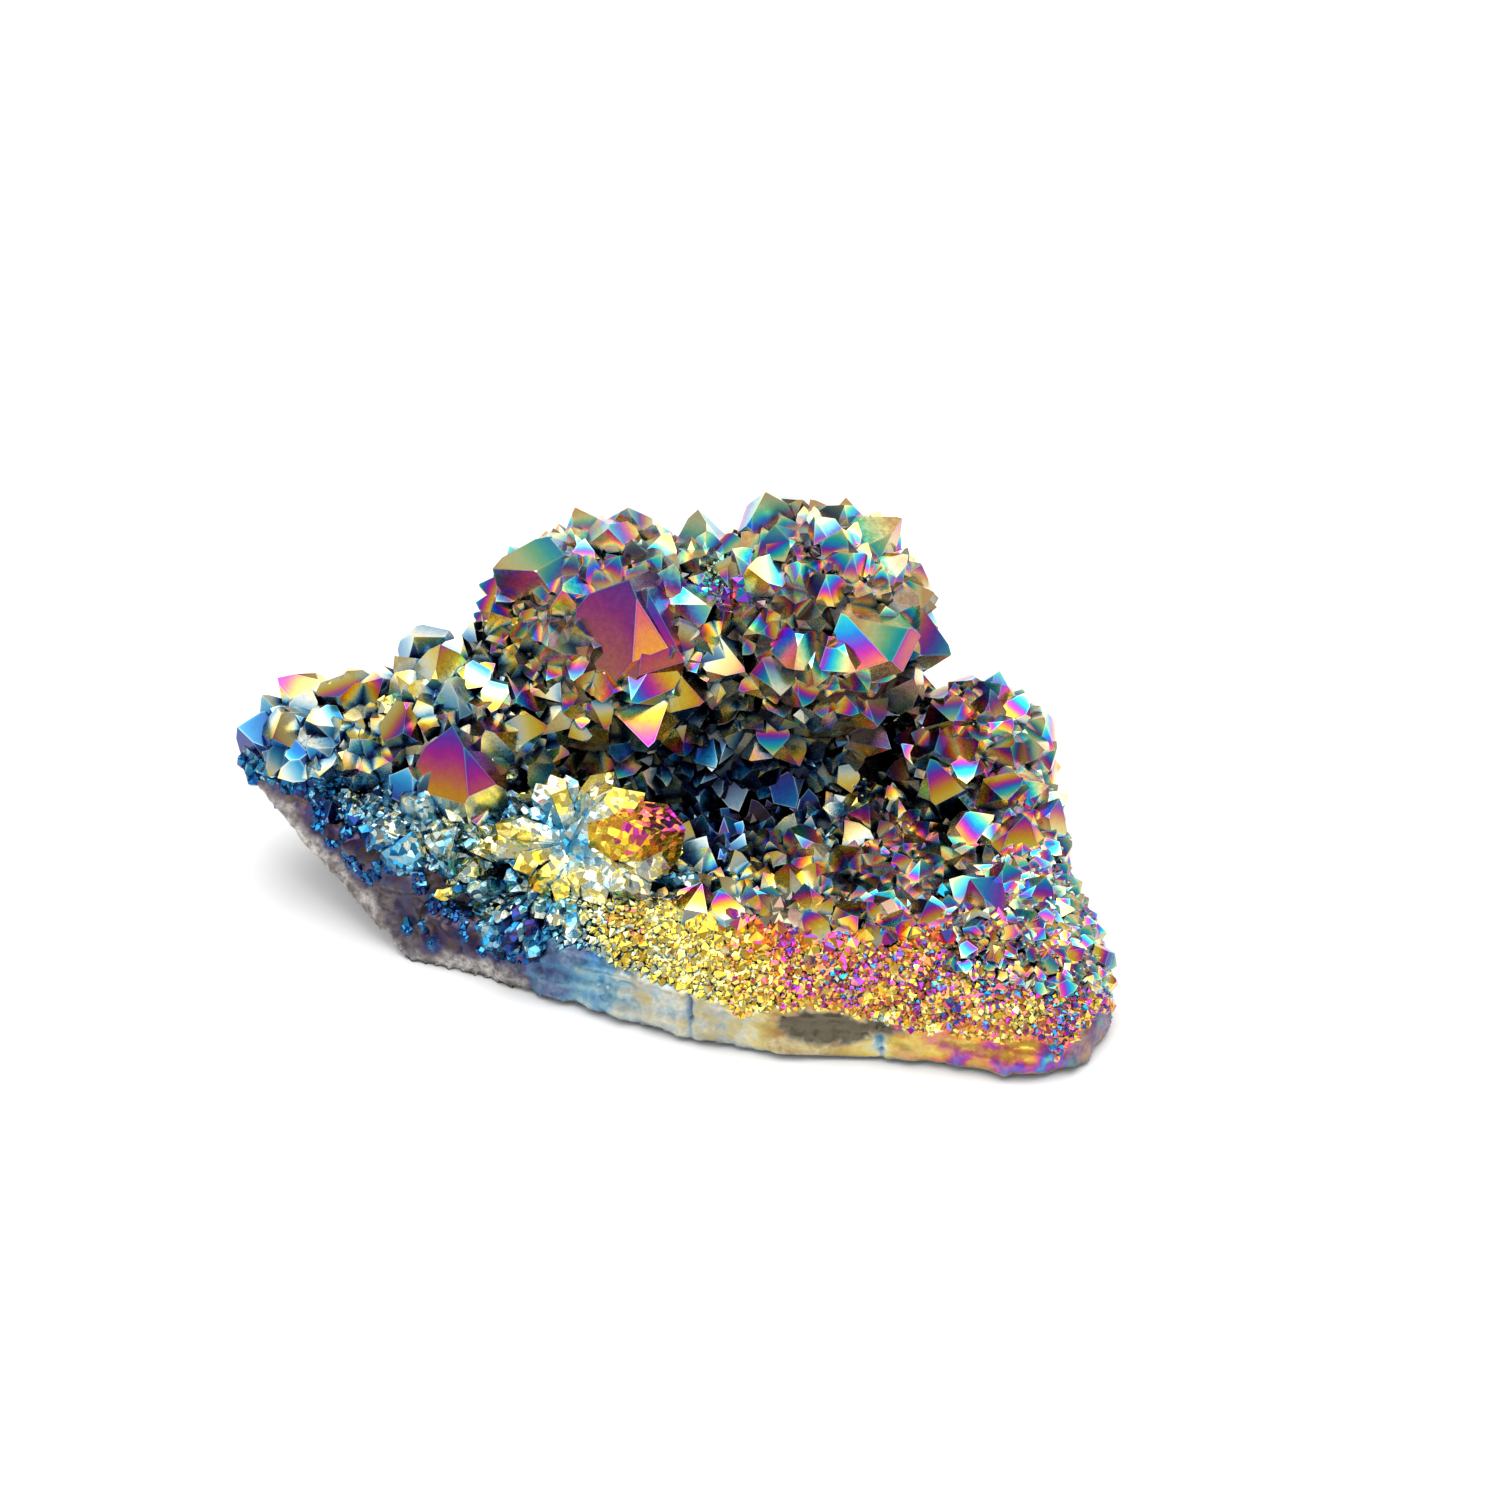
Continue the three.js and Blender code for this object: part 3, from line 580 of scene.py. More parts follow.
rock = {
    "voxel": 0.62,  # mm, the size of the rock's own mesh
    "roughness": 0.5,  # mm, how far the broken rock stands in and out
    "ballSteps": [16, 28],  # down and round
    "slopeSteps": [49, 9],  # along and down
    "footSteps": 180,
    "stripBare": 0.46,  # how much stone shows through on the smooth strip
    "patchCoat": 0.51,  # the coating on the strip's oval patch
    "patchShade": 0.76,  # how much darker the patch is
    "grownShade": 0.64,  # and the rock between the crystals, a painted shade
    "armShade": 0.26,  # and the broken face under the arm
    # the foot's profile: height and inset in mm
    "footProfile": [(0, 0.9), (0.5, 0.3), (1.6, -0.1), (3.4, 0.0), (5.2, 0.4), (6.8, 1.4), (8, 3.2)],
}


def onward(index, steps):
    # the next point round the same ring
    return index - index % steps + (index + 1) % steps


def ballMesh(lump):
    # centre + radii * (sin v cos u, sin v sin u, cos v), with one point at each pole
    rings, steps = rock["ballSteps"]
    level = np.linspace(0, math.pi, rings + 1)[1:-1]
    angle = np.arange(steps) * 2 * math.pi / steps
    v, u = np.meshgrid(level, angle, indexing="ij")
    body = np.stack([np.sin(v) * np.cos(u), np.sin(v) * np.sin(u), np.cos(v)], axis=-1).reshape(-1, 3)
    points = np.concatenate([body, [[0, 0, 1], [0, 0, -1]]]) * lump[3:6] + lump[:3]
    a = np.arange(len(body) - steps)
    b = onward(a, steps)
    first = np.arange(steps)
    second = onward(first, steps)
    top = np.stack([0 * first + len(body), first, second], axis=1)
    bottom = np.stack([0 * first + len(body) + 1, len(a) + second, len(a) + first], axis=1)
    poles = np.stack([top, bottom], axis=1).reshape(-1, 3)
    return points, [np.stack([a, a + steps, b + steps, b], axis=1), poles]


def ringMesh(rings):
    # closed rings of equal count, one after another, with both ends capped
    steps = len(rings[0])
    a = np.arange((len(rings) - 1) * steps)
    b = onward(a, steps)
    ends = np.stack([np.arange(steps)[::-1], len(a) + np.arange(steps)])
    return np.concatenate(rings), [np.stack([a, b, b + steps, a + steps], axis=1), ends]


def footMesh():
    # the outline, evenly stepped and rounded, carried up a profile of insets
    closed = np.concatenate([footOutline, footOutline[:1]])
    run = np.concatenate([[0], np.cumsum(np.linalg.norm(np.diff(closed, axis=0), axis=1))])
    at = np.linspace(0, run[-1], rock["footSteps"] + 1)[:-1]
    line = np.stack([np.interp(at, run, closed[:, k]) for k in range(2)], axis=1)
    for _ in range(3):
        line = 0.25 * np.roll(line, 1, axis=0) + 0.5 * line + 0.25 * np.roll(line, -1, axis=0)
    ahead = unit(np.roll(line, -1, axis=0) - np.roll(line, 1, axis=0))
    outward = np.stack([ahead[:, 1], -ahead[:, 0]], axis=1)
    rings = []
    for z, inset in rock["footProfile"]:
        ring = line - outward * inset
        rings.append(np.column_stack([ring, np.full(len(ring), z)]))
    return ringMesh(rings)


def ridgeMesh():
    # the slope's curve from crest to edge, closed underneath and carried along the slope
    longways, downways = rock["slopeSteps"]
    down = np.linspace(0, 1, downways)
    rings = []
    for along in np.linspace(0, 1, longways):
        front = ridgeSeat(np.full(downways, along), down)
        x, y = front[0, 0], front[:, 1]
        back = y[0] + form["ridgeBack"]
        low = [[x, y[-1] + 0.5, 4], [x, back, 4], [x, back, form["footHeight"] - 1]]
        rings.append(np.concatenate([front, low]))
    return ringMesh(rings)


def hullMesh(corners):
    # the smallest convex body that holds the corners
    bm = bmesh.new()
    for corner in corners:
        bm.verts.new(corner)
    bmesh.ops.convex_hull(bm, input=bm.verts)
    bm.verts.index_update()
    points = np.array([v.co[:] for v in bm.verts])
    faces = [np.array([[v.index for v in f.verts]]) for f in bm.faces]
    bm.free()
    return points, faces


def grownTogether(parts, voxel):
    # the closed bodies as one skin: rebuilt from small cubes, then cut into triangles
    points, faces, start = [], [], 0
    for p, sets in parts:
        points.append(p)
        faces += [face for each in sets for face in (each + start).tolist()]
        start += len(p)
    mesh = bpy.data.meshes.new("rockCore")
    mesh.from_pydata(np.concatenate(points).tolist(), [], faces)
    bm = bmesh.new()
    bm.from_mesh(mesh)
    bmesh.ops.recalc_face_normals(bm, faces=bm.faces)
    bm.to_mesh(mesh)
    bm.free()
    core = bpy.data.objects.new("rockCore", mesh)
    bpy.context.collection.objects.link(core)
    remesh = core.modifiers.new("remesh", "REMESH")
    remesh.mode = "VOXEL"
    remesh.voxel_size = voxel
    core.modifiers.new("even", "TRIANGULATE")
    skin = core.evaluated_get(bpy.context.evaluated_depsgraph_get()).to_mesh()
    made = np.empty(3 * len(skin.vertices), np.float32)
    skin.vertices.foreach_get("co", made)
    normals = np.empty(3 * len(skin.vertices), np.float32)
    skin.vertices.foreach_get("normal", normals)
    tris = np.empty(3 * len(skin.polygons), np.int32)
    skin.polygons.foreach_get("vertices", tris)
    bpy.data.objects.remove(core)
    return made.reshape(-1, 3).astype(float), unit(normals.reshape(-1, 3).astype(float)), tris.reshape(-1, 3)


# Lines on the front, as stations u, v: the foot of the large crystals, the foot of the fine crust,
# the top of the bare face under the arm, the low outline there, and its sharp right edge.
largeFoot = np.array([
    [-62, 4], [-57, 3], [-50, 2], [-44, 0.7], [-37, 1.2], [-33, -0.7], [-26, -2], [-21, -5.8], [-19, -2],
    [-14, 0.5], [-6, 0.5], [-3, -4], [-1, -13], [0, -16], [8, -17.5], [17, -19], [26, -20], [36, -19],
    [41, -14], [44, -9], [60, -8],
], float)
crustFoot = np.array([
    [-28.6, -13], [-22, -19], [-18.4, -20.5], [-7.2, -24], [0, -27], [8, -30.5], [13.6, -30.1],
    [22, -30], [27, -31.5], [36.2, -33.5], [44, -34.6], [48, -33.5], [51, -36.5], [56, -31], [60, -29],
], float)
bareTop = np.array([[-62, 3.5], [-56, 2], [-46.8, -2], [-37.3, -8.8], [-28.6, -11.9], [-19, -27.3]], float)
lowOutline = np.array([
    [-60, 2.5], [-58.5, 1.35], [-53.6, -2.8], [-49.2, -7.7], [-44.6, -13], [-40, -17.2], [-38.1, -21.8],
    [-35.5, -24], [-29.5, -24.6], [-18.8, -27.4],
], float)

# the coating on the smooth strip along the front foot: station u, v, thickness, reach in mm
stripSpots = np.array([
    [-18.2, -24.7, 0.19, 2.0], [-15.7, -27, 0.21, 2.5], [-12.2, -27.7, 0.35, 1.4], [-10.3, -29.7, 0.28, 1.2],
    [-6.9, -30.4, 0.33, 2], [-3.5, -31.8, 0.38, 3], [0.5, -33, 0.41, 2.5], [5.3, -33.8, 0.36, 2.5],
    [8.6, -33.8, 0.43, 2], [12, -35, 0.50, 2], [19.5, -33, 0.54, 3.5], [16.8, -35.8, 0.47, 1.6],
    [23.5, -35.1, 0.50, 1.8], [27.3, -34.5, 0.30, 0.8], [32.3, -35.1, 0.51, 3], [37, -36.5, 0.56, 2.5],
    [42.4, -36.9, 0.57, 3], [46.5, -35.8, 0.59, 2], [45.1, -38.5, 0.66, 1.5], [49.9, -37.2, 0.72, 1.2],
    [50.8, -35.8, 0.78, 0.8], [54.5, -35.1, 0.60, 1.8], [42.4, -33.8, 0.68, 1.0], [57, -32, 0.62, 1.5],
    [53, -37, 0.65, 1.0],
])

large = joined(chosen, onLumps(chosen), onRidge())
# the broken ones under the arm belong to the rock: the items on armFace, and one chosen crystal
isBroken = (large["item"] >= 8000) & (large["item"] < 9000)
isBroken |= large["item"] == 58
broken = picked(large, isBroken)
large = picked(large, ~isBroken)
brokenMade = crystalMesh(broken)

rockPoints, rockNormals, rockTris = grownTogether(
    [ballMesh(lump) for lump in lumpTable]
    + [footMesh(), ridgeMesh(), hullMesh(armSlabCorners)]
    + [(brokenMade["points"], [brokenMade["tris"]])],
    rock["voxel"],
)
print("rock core:", len(rockTris), "triangles")


def above(line, u, v):
    # how far a station lies above a line on the front
    return v - np.interp(u, *line.T)


def bumpUp(value, centre, half):
    # 1 at the centre, falling to 0 at half a width away
    return smooth(half, 0, np.abs(value - centre))


def shellCoatAt(u, v):
    # the broken pieces under the arm, blue at its end and low down, and paler to the right
    return 0.305 + 0.004 * (u + 36) - 0.06 * smooth(-9, -20, v)


def rockRelief(points, normals):
    # for each point: how far it stands out along its normal, its coating, bareness, shade and broken
    # planes; each is the plain rock's value, carried over to a region's own by that region's mask
    x, y, z = points.T
    u, v = stationOf(points)
    coarse = layeredNoise(points, 5.0, 4)
    fine = layeredNoise(points + 40, 1.5, 2)
    facing = smooth(-0.25, 0.15, normals @ toward)
    front = facing * smooth(0, -8, y)
    ragged = 0.8 * latticeNoise(points + 9, 2.2)
    strip = front * smooth(0.3, -0.5, above(crustFoot, u, v + ragged)) * smooth(-26, -22, u)
    underArm = smooth(0.6, -0.6, above(bareTop, u, v + ragged)) * smooth(-18.5, -20, u)
    underArm *= smooth(-0.6, -0.2, normals @ toward) * smooth(8, 0, y)

    # between the crystals' foot and the bare face: broken pieces, blue with white
    armShell = front * smooth(0.5, -0.5, above(largeFoot, u, v + ragged)) * (1 - underArm)
    armShell *= smooth(-13, -17, u) * (1 - strip)
    pieces = cellDistance(points + 3, 3.4)
    shellRise = 0.9 * smooth(0.1, 0.6, pieces) * -1 + 0.6 + 0.5 * coarse + 0.3 * fine

    # the strip: rounded lobes, thin bands, two cracks and a shallow broken patch
    lobes = 1 - cellDistance(np.column_stack([0.7 * x, 0.7 * y, 0.5 * z]), 3.2)
    bands = np.sin(3.1 * (v + 0.25 * u) + 1.5 * latticeNoise(points, 6.0))
    lobed = smooth(-2, -8, u)
    cracks = bumpUp(u + 0.2 * fine, 1.9, 0.45) * smooth(-36, -30, v)
    cracks = cracks + bumpUp(u + 0.3 * fine, 27.3, 0.5)
    patch = smooth(1, 0.82, np.hypot((u - 20.2) / 7.2, (v + 0.03 * (u - 20) + 32.6) / 2.5) + 0.4 * fine)
    patch = np.maximum(patch, smooth(1, 0.8, np.hypot((u - 28.4) / 4.0, (v + 32.0) / 1.8) + 0.4 * fine))
    wavy = latticeNoise(points * [1, 1, 0.4] + 31, 4.2) + 0.5 * fine
    stripRise = lobed * (1.7 * lobes - 0.8) + 0.10 * bands + 0.5 * coarse + 0.16 * fine
    stripRise += -0.9 * cracks - 0.45 * patch
    stripRise += 0.5 * bumpUp(v, -36.4, 2.0) * smooth(30, 40, u)
    waves = 0.3 * smooth(0.4, 0.9, wavy) - 0.35 * smooth(-0.3, -0.8, wavy)
    stripRise += 0.75 * wavy * smooth(5, 1.5, z) + waves

    # under the arm: a fibrous broken face with pits
    fibres = layeredNoise(np.column_stack([1.2 * (x + 0.5 * z), 0.6 * y, 0.35 * z]) + 5, 1.3, 2)
    armRise = 0.5 * coarse + 0.35 * fibres - 0.5 * smooth(0.35, 0.15, cellDistance(points, 3.1))
    rough = rock["roughness"] * (coarse + 0.6 * fine)
    rise = rough * (1 - strip) * (1 - underArm) * (1 - armShell)
    rise += strip * stripRise + underArm * armRise + armShell * shellRise
    under = smooth(-0.4, -0.8, normals[:, 2]) * smooth(2.0, 0.5, z)
    rise = np.where(under > 0, -under * (0.5 + 0.5 * coarse), rise)

    # coating: on the strip it is the mean of the spots, each weighed by a bell of its own reach
    away = (u[:, None] - stripSpots[:, 0]) ** 2 + (v[:, None] - stripSpots[:, 1]) ** 2
    weight = np.exp(-away / (2 * stripSpots[:, 3] ** 2)) + 1e-5 / (1 + away)
    stripCoat = (weight * stripSpots[:, 2]).sum(axis=1) / weight.sum(axis=1)
    stripCoat += 0.02 * bands + 0.05 * coarse - 0.2 * cracks + 0.05 * fine
    stripCoat += 0.85 * patch * (rock["patchCoat"] - stripCoat) + 0.015 * smooth(24, 34, u)
    stripCoat += 0.09 * smooth(0.05, 0.5, latticeNoise(points + 13, 1.6) + 0.3 * fine) * smooth(30, 38, u)
    armCoat = 0.09 + 0.05 * coarse + 0.03 * fine + 0.08 * smooth(0.1, 0.5, latticeNoise(points + 70, 2.0))
    coat = coatAt(points) + 0.05 * coarse
    shellCoat = shellCoatAt(u, v) + 0.06 * coarse + 0.05 * fine
    coat = coat + armShell * (shellCoat - coat)
    coat = coat + strip * (stripCoat - coat)
    coat = coat + underArm * (armCoat - coat)

    # bare stone: along the arm's lower edge, underneath, brown on the face under the arm, on the strip
    rim = underArm * smooth(2.8, 0.9, above(lowOutline, u, v) + 2.2 * coarse + 0.8 * fine)
    bare = np.maximum(np.maximum(under, rim), smooth(0.1, -0.5, normals[:, 2]) * smooth(-16, -24, x))
    browned = 0.03 + 0.12 * fibres + 0.25 * smooth(-31, -37, u) * smooth(-9, -15, v) + 0.1 * coarse
    stripBare = rock["stripBare"] - 0.2 * smooth(-4, -10, u) + 0.22 * coarse + 0.12 * fine
    stripBare = stripBare - 0.3 * smooth(14, 34, u) + 0.35 * smooth(51, 53, u)
    bare = np.maximum(bare, strip * np.clip(stripBare, 0, 1) * (1 - 0.7 * patch))
    bare = np.maximum(bare, underArm * browned)

    # shade: painted shade on the rock between the crystals and on faces turned away above the foot, less
    # on the arm and the right rim; darker too are the patch, the face under the arm and the strip, most at
    # its right end
    grown = smooth(-1.2, 1.0, above(largeFoot, u, v + ragged)) * facing * (1 - strip) * (1 - underArm)
    grown = np.maximum(grown, (1 - facing) * smooth(4, 7, z))
    ends = 0.5 * smooth(30, 37, u) + 0.5 * smooth(-18, -24, u)
    shade = 1 - rock["grownShade"] * grown * (1 - ends) - rock["patchShade"] * strip * patch
    shade = shade - rock["armShade"] * underArm * (1 - rim) - strip * (0.06 + 0.26 * smooth(51.5, 53, u))
    crush = armShell * (0.75 + 0.25 * fine) + 0.4 * underArm * (1 - rim) + 0.22 * strip
    return rise, coat, np.clip(bare, 0, 1), shade, np.clip(crush, 0, 1)


rise, rockCoat, rockBare, rockShade, rockCrush = rockRelief(rockPoints, rockNormals)
rockPoints = rockPoints + rockNormals * rise[:, None]
rockPoints[:, 2] = np.maximum(rockPoints[:, 2], 0)

# thickness, then colour as red, green, blue out of 255
filmColours = [
    [0.00, 26, 24, 28], [0.06, 88, 64, 58], [0.11, 64, 38, 96], [0.16, 20, 52, 130], [0.21, 10, 96, 154],
    [0.26, 40, 136, 182], [0.31, 112, 174, 196], [0.36, 188, 208, 206], [0.40, 222, 222, 196],
    [0.44, 236, 224, 150], [0.49, 234, 210, 88], [0.55, 228, 188, 46], [0.592, 226, 150, 44],
    [0.632, 214, 92, 110], [0.67, 190, 40, 160], [0.71, 118, 54, 192], [0.75, 36, 112, 206],
    [0.79, 10, 162, 208], [0.84, 48, 194, 184], [0.88, 130, 212, 154], [0.92, 210, 226, 162],
    [0.96, 236, 220, 142], [1.00, 232, 184, 120],
]


filmInputs = {
    "Coat": 0.5, "Open": 1.0, "Edge": 1.0, "Bare": 0.0, "Wander": 0.05, "Grain": 900.0, "Gleam": 0.15,
    "Shade": 1.0, "Crush": 0.0,
}


def painted(*rgb):
    # parts of 255 as linear light: v / 12.92 when dark, else ((v + 0.055) / 1.055) ^ 2.4
    shares = [value / 255 for value in rgb]
    return (*[s / 12.92 if s <= 0.04045 else ((s + 0.055) / 1.055) ** 2.4 for s in shares], 1)


def node(tree, kind, fed=None, **settings):
    # a node with its settings, whose inputs get numbers, colours or other nodes' outputs
    made = tree.nodes.new(kind)
    for key, value in settings.items():
        setattr(made, key, value)
    for key, value in (fed or {}).items():
        if isinstance(value, bpy.types.NodeSocket):
            tree.links.new(value, made.inputs[key])
        else:
            made.inputs[key].default_value = value
    return made


def math2(tree, operation, a, b, clamp=False):
    # the sum, difference or product of two values, kept from 0 to 1 if clamped
    return node(tree, "ShaderNodeMath", {0: a, 1: b}, operation=operation, use_clamp=clamp).outputs[0]


def vectorMath(tree, operation, a, b):
    # the difference or dot product of two vectors
    return node(tree, "ShaderNodeVectorMath", {0: a, 1: b}, operation=operation).outputs


def ranged(tree, value, low, high, toLow, toHigh, smoothly=False):
    # the value carried from one range to another, along a straight line or an S curve
    kind = "SMOOTHSTEP" if smoothly else "LINEAR"
    fed = {"Value": value, "From Min": low, "From Max": high, "To Min": toLow, "To Max": toHigh}
    return node(tree, "ShaderNodeMapRange", fed, interpolation_type=kind).outputs["Result"]


def blended(tree, share, a, b, kind="MIX"):
    # a goes over to b by the share, or is multiplied by b
    fed = {"Factor": share, "A": a, "B": b}
    return node(tree, "ShaderNodeMix", fed, data_type="RGBA", blend_type=kind).outputs["Result"]


def rampOf(tree, value, stops):
    # a colour for each value from 0 to 1, with straight blends between the stops
    made = node(tree, "ShaderNodeValToRGB", {"Fac": value})
    elements = made.color_ramp.elements
    for number, (place, *rgb) in enumerate(stops):
        stop = elements[number] if number < 2 else elements.new(place)
        stop.position = place
        stop.color = painted(*rgb)
    return made.outputs["Color"]


def filmGroup():
    # thickness = (coat + edge + wander + broken planes) * shelter, and the ramp gives its colour; a painted
    # edge highlight, bare stone and painted shade go over it; also the sheen's roughness, metal share and
    # small relief
    tree = bpy.data.node_groups.new("auraFilm", "ShaderNodeTree")
    for name, value in filmInputs.items():
        socket = tree.interface.new_socket(name=name, in_out="INPUT", socket_type="NodeSocketFloat")
        socket.default_value = value
    tree.interface.new_socket(name="Position", in_out="INPUT", socket_type="NodeSocketVector")
    tree.interface.new_socket(name="Colour", in_out="OUTPUT", socket_type="NodeSocketColor")
    for name in ("Roughness", "Metallic", "Height"):
        tree.interface.new_socket(name=name, in_out="OUTPUT", socket_type="NodeSocketFloat")
    given = node(tree, "NodeGroupInput").outputs
    place = given["Position"]
    drift = node(tree, "ShaderNodeTexNoise", {"Vector": place, "Scale": 260, "Detail": 3}).outputs["Fac"]
    fed = {"Vector": place, "Scale": given["Grain"], "Detail": 4, "Roughness": 0.6}
    speck = node(tree, "ShaderNodeTexNoise", fed).outputs["Fac"]

    # broken faces: each small cell is a plane that leans its own way and has its own thickness
    cells = node(tree, "ShaderNodeTexVoronoi", {"Vector": place, "Scale": 1150}).outputs
    fromCell = vectorMath(tree, "SUBTRACT", place, cells["Position"])
    leaning = vectorMath(tree, "SUBTRACT", cells["Color"], (0.5, 0.5, 0.5))
    plane = vectorMath(tree, "DOT_PRODUCT", fromCell["Vector"], leaning["Vector"])["Value"]
    red = node(tree, "ShaderNodeSeparateColor", {"Color": cells["Color"]}).outputs["Red"]
    cellShare = math2(tree, "SUBTRACT", red, 0.45)
    cellShare = math2(tree, "MULTIPLY", cellShare, math2(tree, "MULTIPLY", given["Crush"], 0.17))

    # thicker along edges, thinner where neighbours close in, wandering a little everywhere
    rim = ranged(tree, given["Edge"], 0.0, 0.45, 0.025, 0.0, True)
    wander = math2(tree, "MULTIPLY", math2(tree, "SUBTRACT", drift, 0.5), given["Wander"])
    wander = math2(tree, "MULTIPLY", wander, 2.0)
    thick = math2(tree, "ADD", math2(tree, "ADD", given["Coat"], rim), wander)
    thick = math2(tree, "ADD", thick, cellShare)
    # the thinning in crevices is partly a real thinner coat and partly painted shade, as thin coats turn dark
    shelter = ranged(tree, given["Open"], 0.17, 0.72, 0.30, 1.04, True)
    colour = rampOf(tree, math2(tree, "MULTIPLY", thick, shelter, True), filmColours)

    # a painted pale highlight line on the very edges, where real bevels would catch the light, and bare
    # stone, grey and brown
    paintedEdgeHighlight = ranged(tree, given["Edge"], 0.02, 0.11, 0.32, 0.0)
    colour = blended(tree, paintedEdgeHighlight, colour, painted(236, 232, 214))
    stone = rampOf(tree, speck, [[0.3, 98, 88, 84], [0.7, 214, 210, 206]])
    browned = ranged(tree, drift, 0.42, 0.62, 0.0, 0.8, True)
    stone = blended(tree, browned, stone, painted(78, 58, 54))
    colour = blended(tree, given["Bare"], colour, stone)

    # painted shade: crevices are darkened by the openness of each place, and the shade value darkens and
    # dulls the colour
    dark = ranged(tree, given["Open"], 0.14, 0.52, 0.04, 1.0, True)
    dark = math2(tree, "MULTIPLY", dark, given["Shade"])
    plain = node(tree, "ShaderNodeRGBToBW", {"Color": colour}).outputs["Val"]
    colour = blended(tree, ranged(tree, given["Shade"], 0.5, 1.0, 0.55, 0.0), colour, plain)
    colour = blended(tree, 1, colour, dark, "MULTIPLY")

    rough = math2(tree, "ADD", given["Gleam"], ranged(tree, speck, 0.35, 0.75, 0.0, 0.18))
    rough = math2(tree, "ADD", rough, math2(tree, "MULTIPLY", given["Bare"], 0.35), True)
    metal = math2(tree, "SUBTRACT", 1.0, math2(tree, "MULTIPLY", given["Bare"], 0.92), True)
    height = math2(tree, "ADD", speck, math2(tree, "MULTIPLY", drift, 0.8))
    broken = math2(tree, "MULTIPLY", plane, math2(tree, "MULTIPLY", given["Crush"], 12000.0))
    height = math2(tree, "ADD", height, broken)
    node(tree, "NodeGroupOutput", {"Colour": colour, "Roughness": rough, "Metallic": metal, "Height": height})
    return tree


film = filmGroup()


def coatedMaterial(name, values):
    # a metal-like coat: the piece's own attributes, the openness of each place and a few numbers go
    # into the film group, and what it gives goes into the shader and its bump
    material = bpy.data.materials.new(name)
    material.use_nodes = True
    tree = material.node_tree
    tree.nodes.clear()
    distance = values["shelter"] * metresPerMm
    room = node(tree, "ShaderNodeAmbientOcclusion", {"Distance": distance}, samples=values["samples"])
    fed = {
        "Position": node(tree, "ShaderNodeTexCoord").outputs["Object"], "Open": room.outputs["AO"],
        "Wander": values["wander"], "Grain": values["grain"], "Gleam": values["gleam"],
        "Crush": values.get("crush", 0), "Shade": values.get("shade", 1),
    }
    for key in values["reads"]:
        fed[key.title()] = node(tree, "ShaderNodeAttribute", attribute_name=key).outputs["Fac"]
    given = node(tree, "ShaderNodeGroup", fed, node_tree=film).outputs
    depth = values["relief"] * metresPerMm
    relief = {"Strength": values["bump"], "Distance": depth, "Height": given["Height"]}
    shader = node(tree, "ShaderNodeBsdfPrincipled", {
        "Base Color": given["Colour"], "Roughness": given["Roughness"], "Metallic": given["Metallic"],
        "Coat Weight": 0.2, "Coat Roughness": 0.12, "Coat IOR": 1.7,
        "Normal": node(tree, "ShaderNodeBump", relief).outputs["Normal"],
    })
    node(tree, "ShaderNodeOutputMaterial", {"Surface": shader.outputs["BSDF"]})
    return material


# for each finish: the attributes it reads, the samples and the reach in mm for the openness of a place,
# how far the coating wanders, how fine the grain is, the sheen's roughness, the bump's strength and its
# height in mm, and for some how broken the faces are and how much painted shade darkens them
finishes = {
    "crystalCoat": {
        "reads": ("coat", "edge", "shade"), "samples": 8, "shelter": 5.0, "wander": 0.025,
        "grain": 1500.0, "gleam": 0.145, "bump": 0.14, "relief": 0.05,
    },
    # the crust in the gaps between the crystals is darkened with painted shade
    "gapCoat": {
        "reads": ("coat",), "samples": 4, "shelter": 5.0, "wander": 0.025,
        "grain": 1500.0, "gleam": 0.145, "bump": 0.14, "relief": 0.05, "shade": 0.5,
    },
    "brokenCoat": {
        "reads": ("coat",), "samples": 4, "shelter": 0.35, "wander": 0.04,
        "grain": 1500.0, "gleam": 0.14, "bump": 0.9, "relief": 0.18, "crush": 0.9,
    },
    "bladeCoat": {
        "reads": ("coat",), "samples": 4, "shelter": 0.5, "wander": 0.05,
        "grain": 1100.0, "gleam": 0.16, "bump": 0.8, "relief": 0.12, "crush": 0.7,
    },
    "grainCoat": {
        "reads": ("coat",), "samples": 4, "shelter": 0.4, "wander": 0.035,
        "grain": 2500.0, "gleam": 0.14, "bump": 0.2, "relief": 0.03,
    },
    "rockCoat": {
        "reads": ("coat", "bare", "shade", "crush"), "samples": 6, "shelter": 2.2, "wander": 0.08,
        "grain": 1300.0, "gleam": 0.24, "bump": 0.7, "relief": 0.10,
    },
}
coated = {name: coatedMaterial(name, values) for name, values in finishes.items()}
print("materials:", len(coated))

rockMade = {
    "points": rockPoints,
    "tris": rockTris,
    "coat": rockCoat[rockTris].ravel(),
    "bare": rockBare[rockTris].ravel(),
    "shade": rockShade[rockTris].ravel(),
    "crush": rockCrush[rockTris].ravel(),
}
putMesh("rockBody", rockMade, coated["rockCoat"], isSmooth=True)


# near the right foot, on the front slope and low in the basin the crust is finer, so the large ones are
# smaller there, and those on the lumps are a little wider elsewhere; items 500 to 533 stand on the
# slope, 4000 to 5999 on moundBack and moundFoot, and 6015 on armEnd
resized = {"lowWidth": 0.62, "lowHeight": 0.55, "lumpWidth": 1.12}
low = (large["seat"][:, 0] > 49) & (large["seat"][:, 2] < 14)
low |= (large["item"] >= 500) & (large["item"] < 534)
low |= (large["item"] >= 4000) & (large["item"] < 6000) & (large["seat"][:, 1] < 16.5)
low |= large["item"] == 6015
large["width"] = np.where(low, resized["lowWidth"] * large["width"], large["width"])
large["height"] = np.where(low, resized["lowHeight"] * large["height"], large["height"])
wider = ~low & (large["item"] >= 1000)
large["width"] = np.where(wider, resized["lumpWidth"] * large["width"], large["width"])
print("large crystals:", len(large["seat"]))


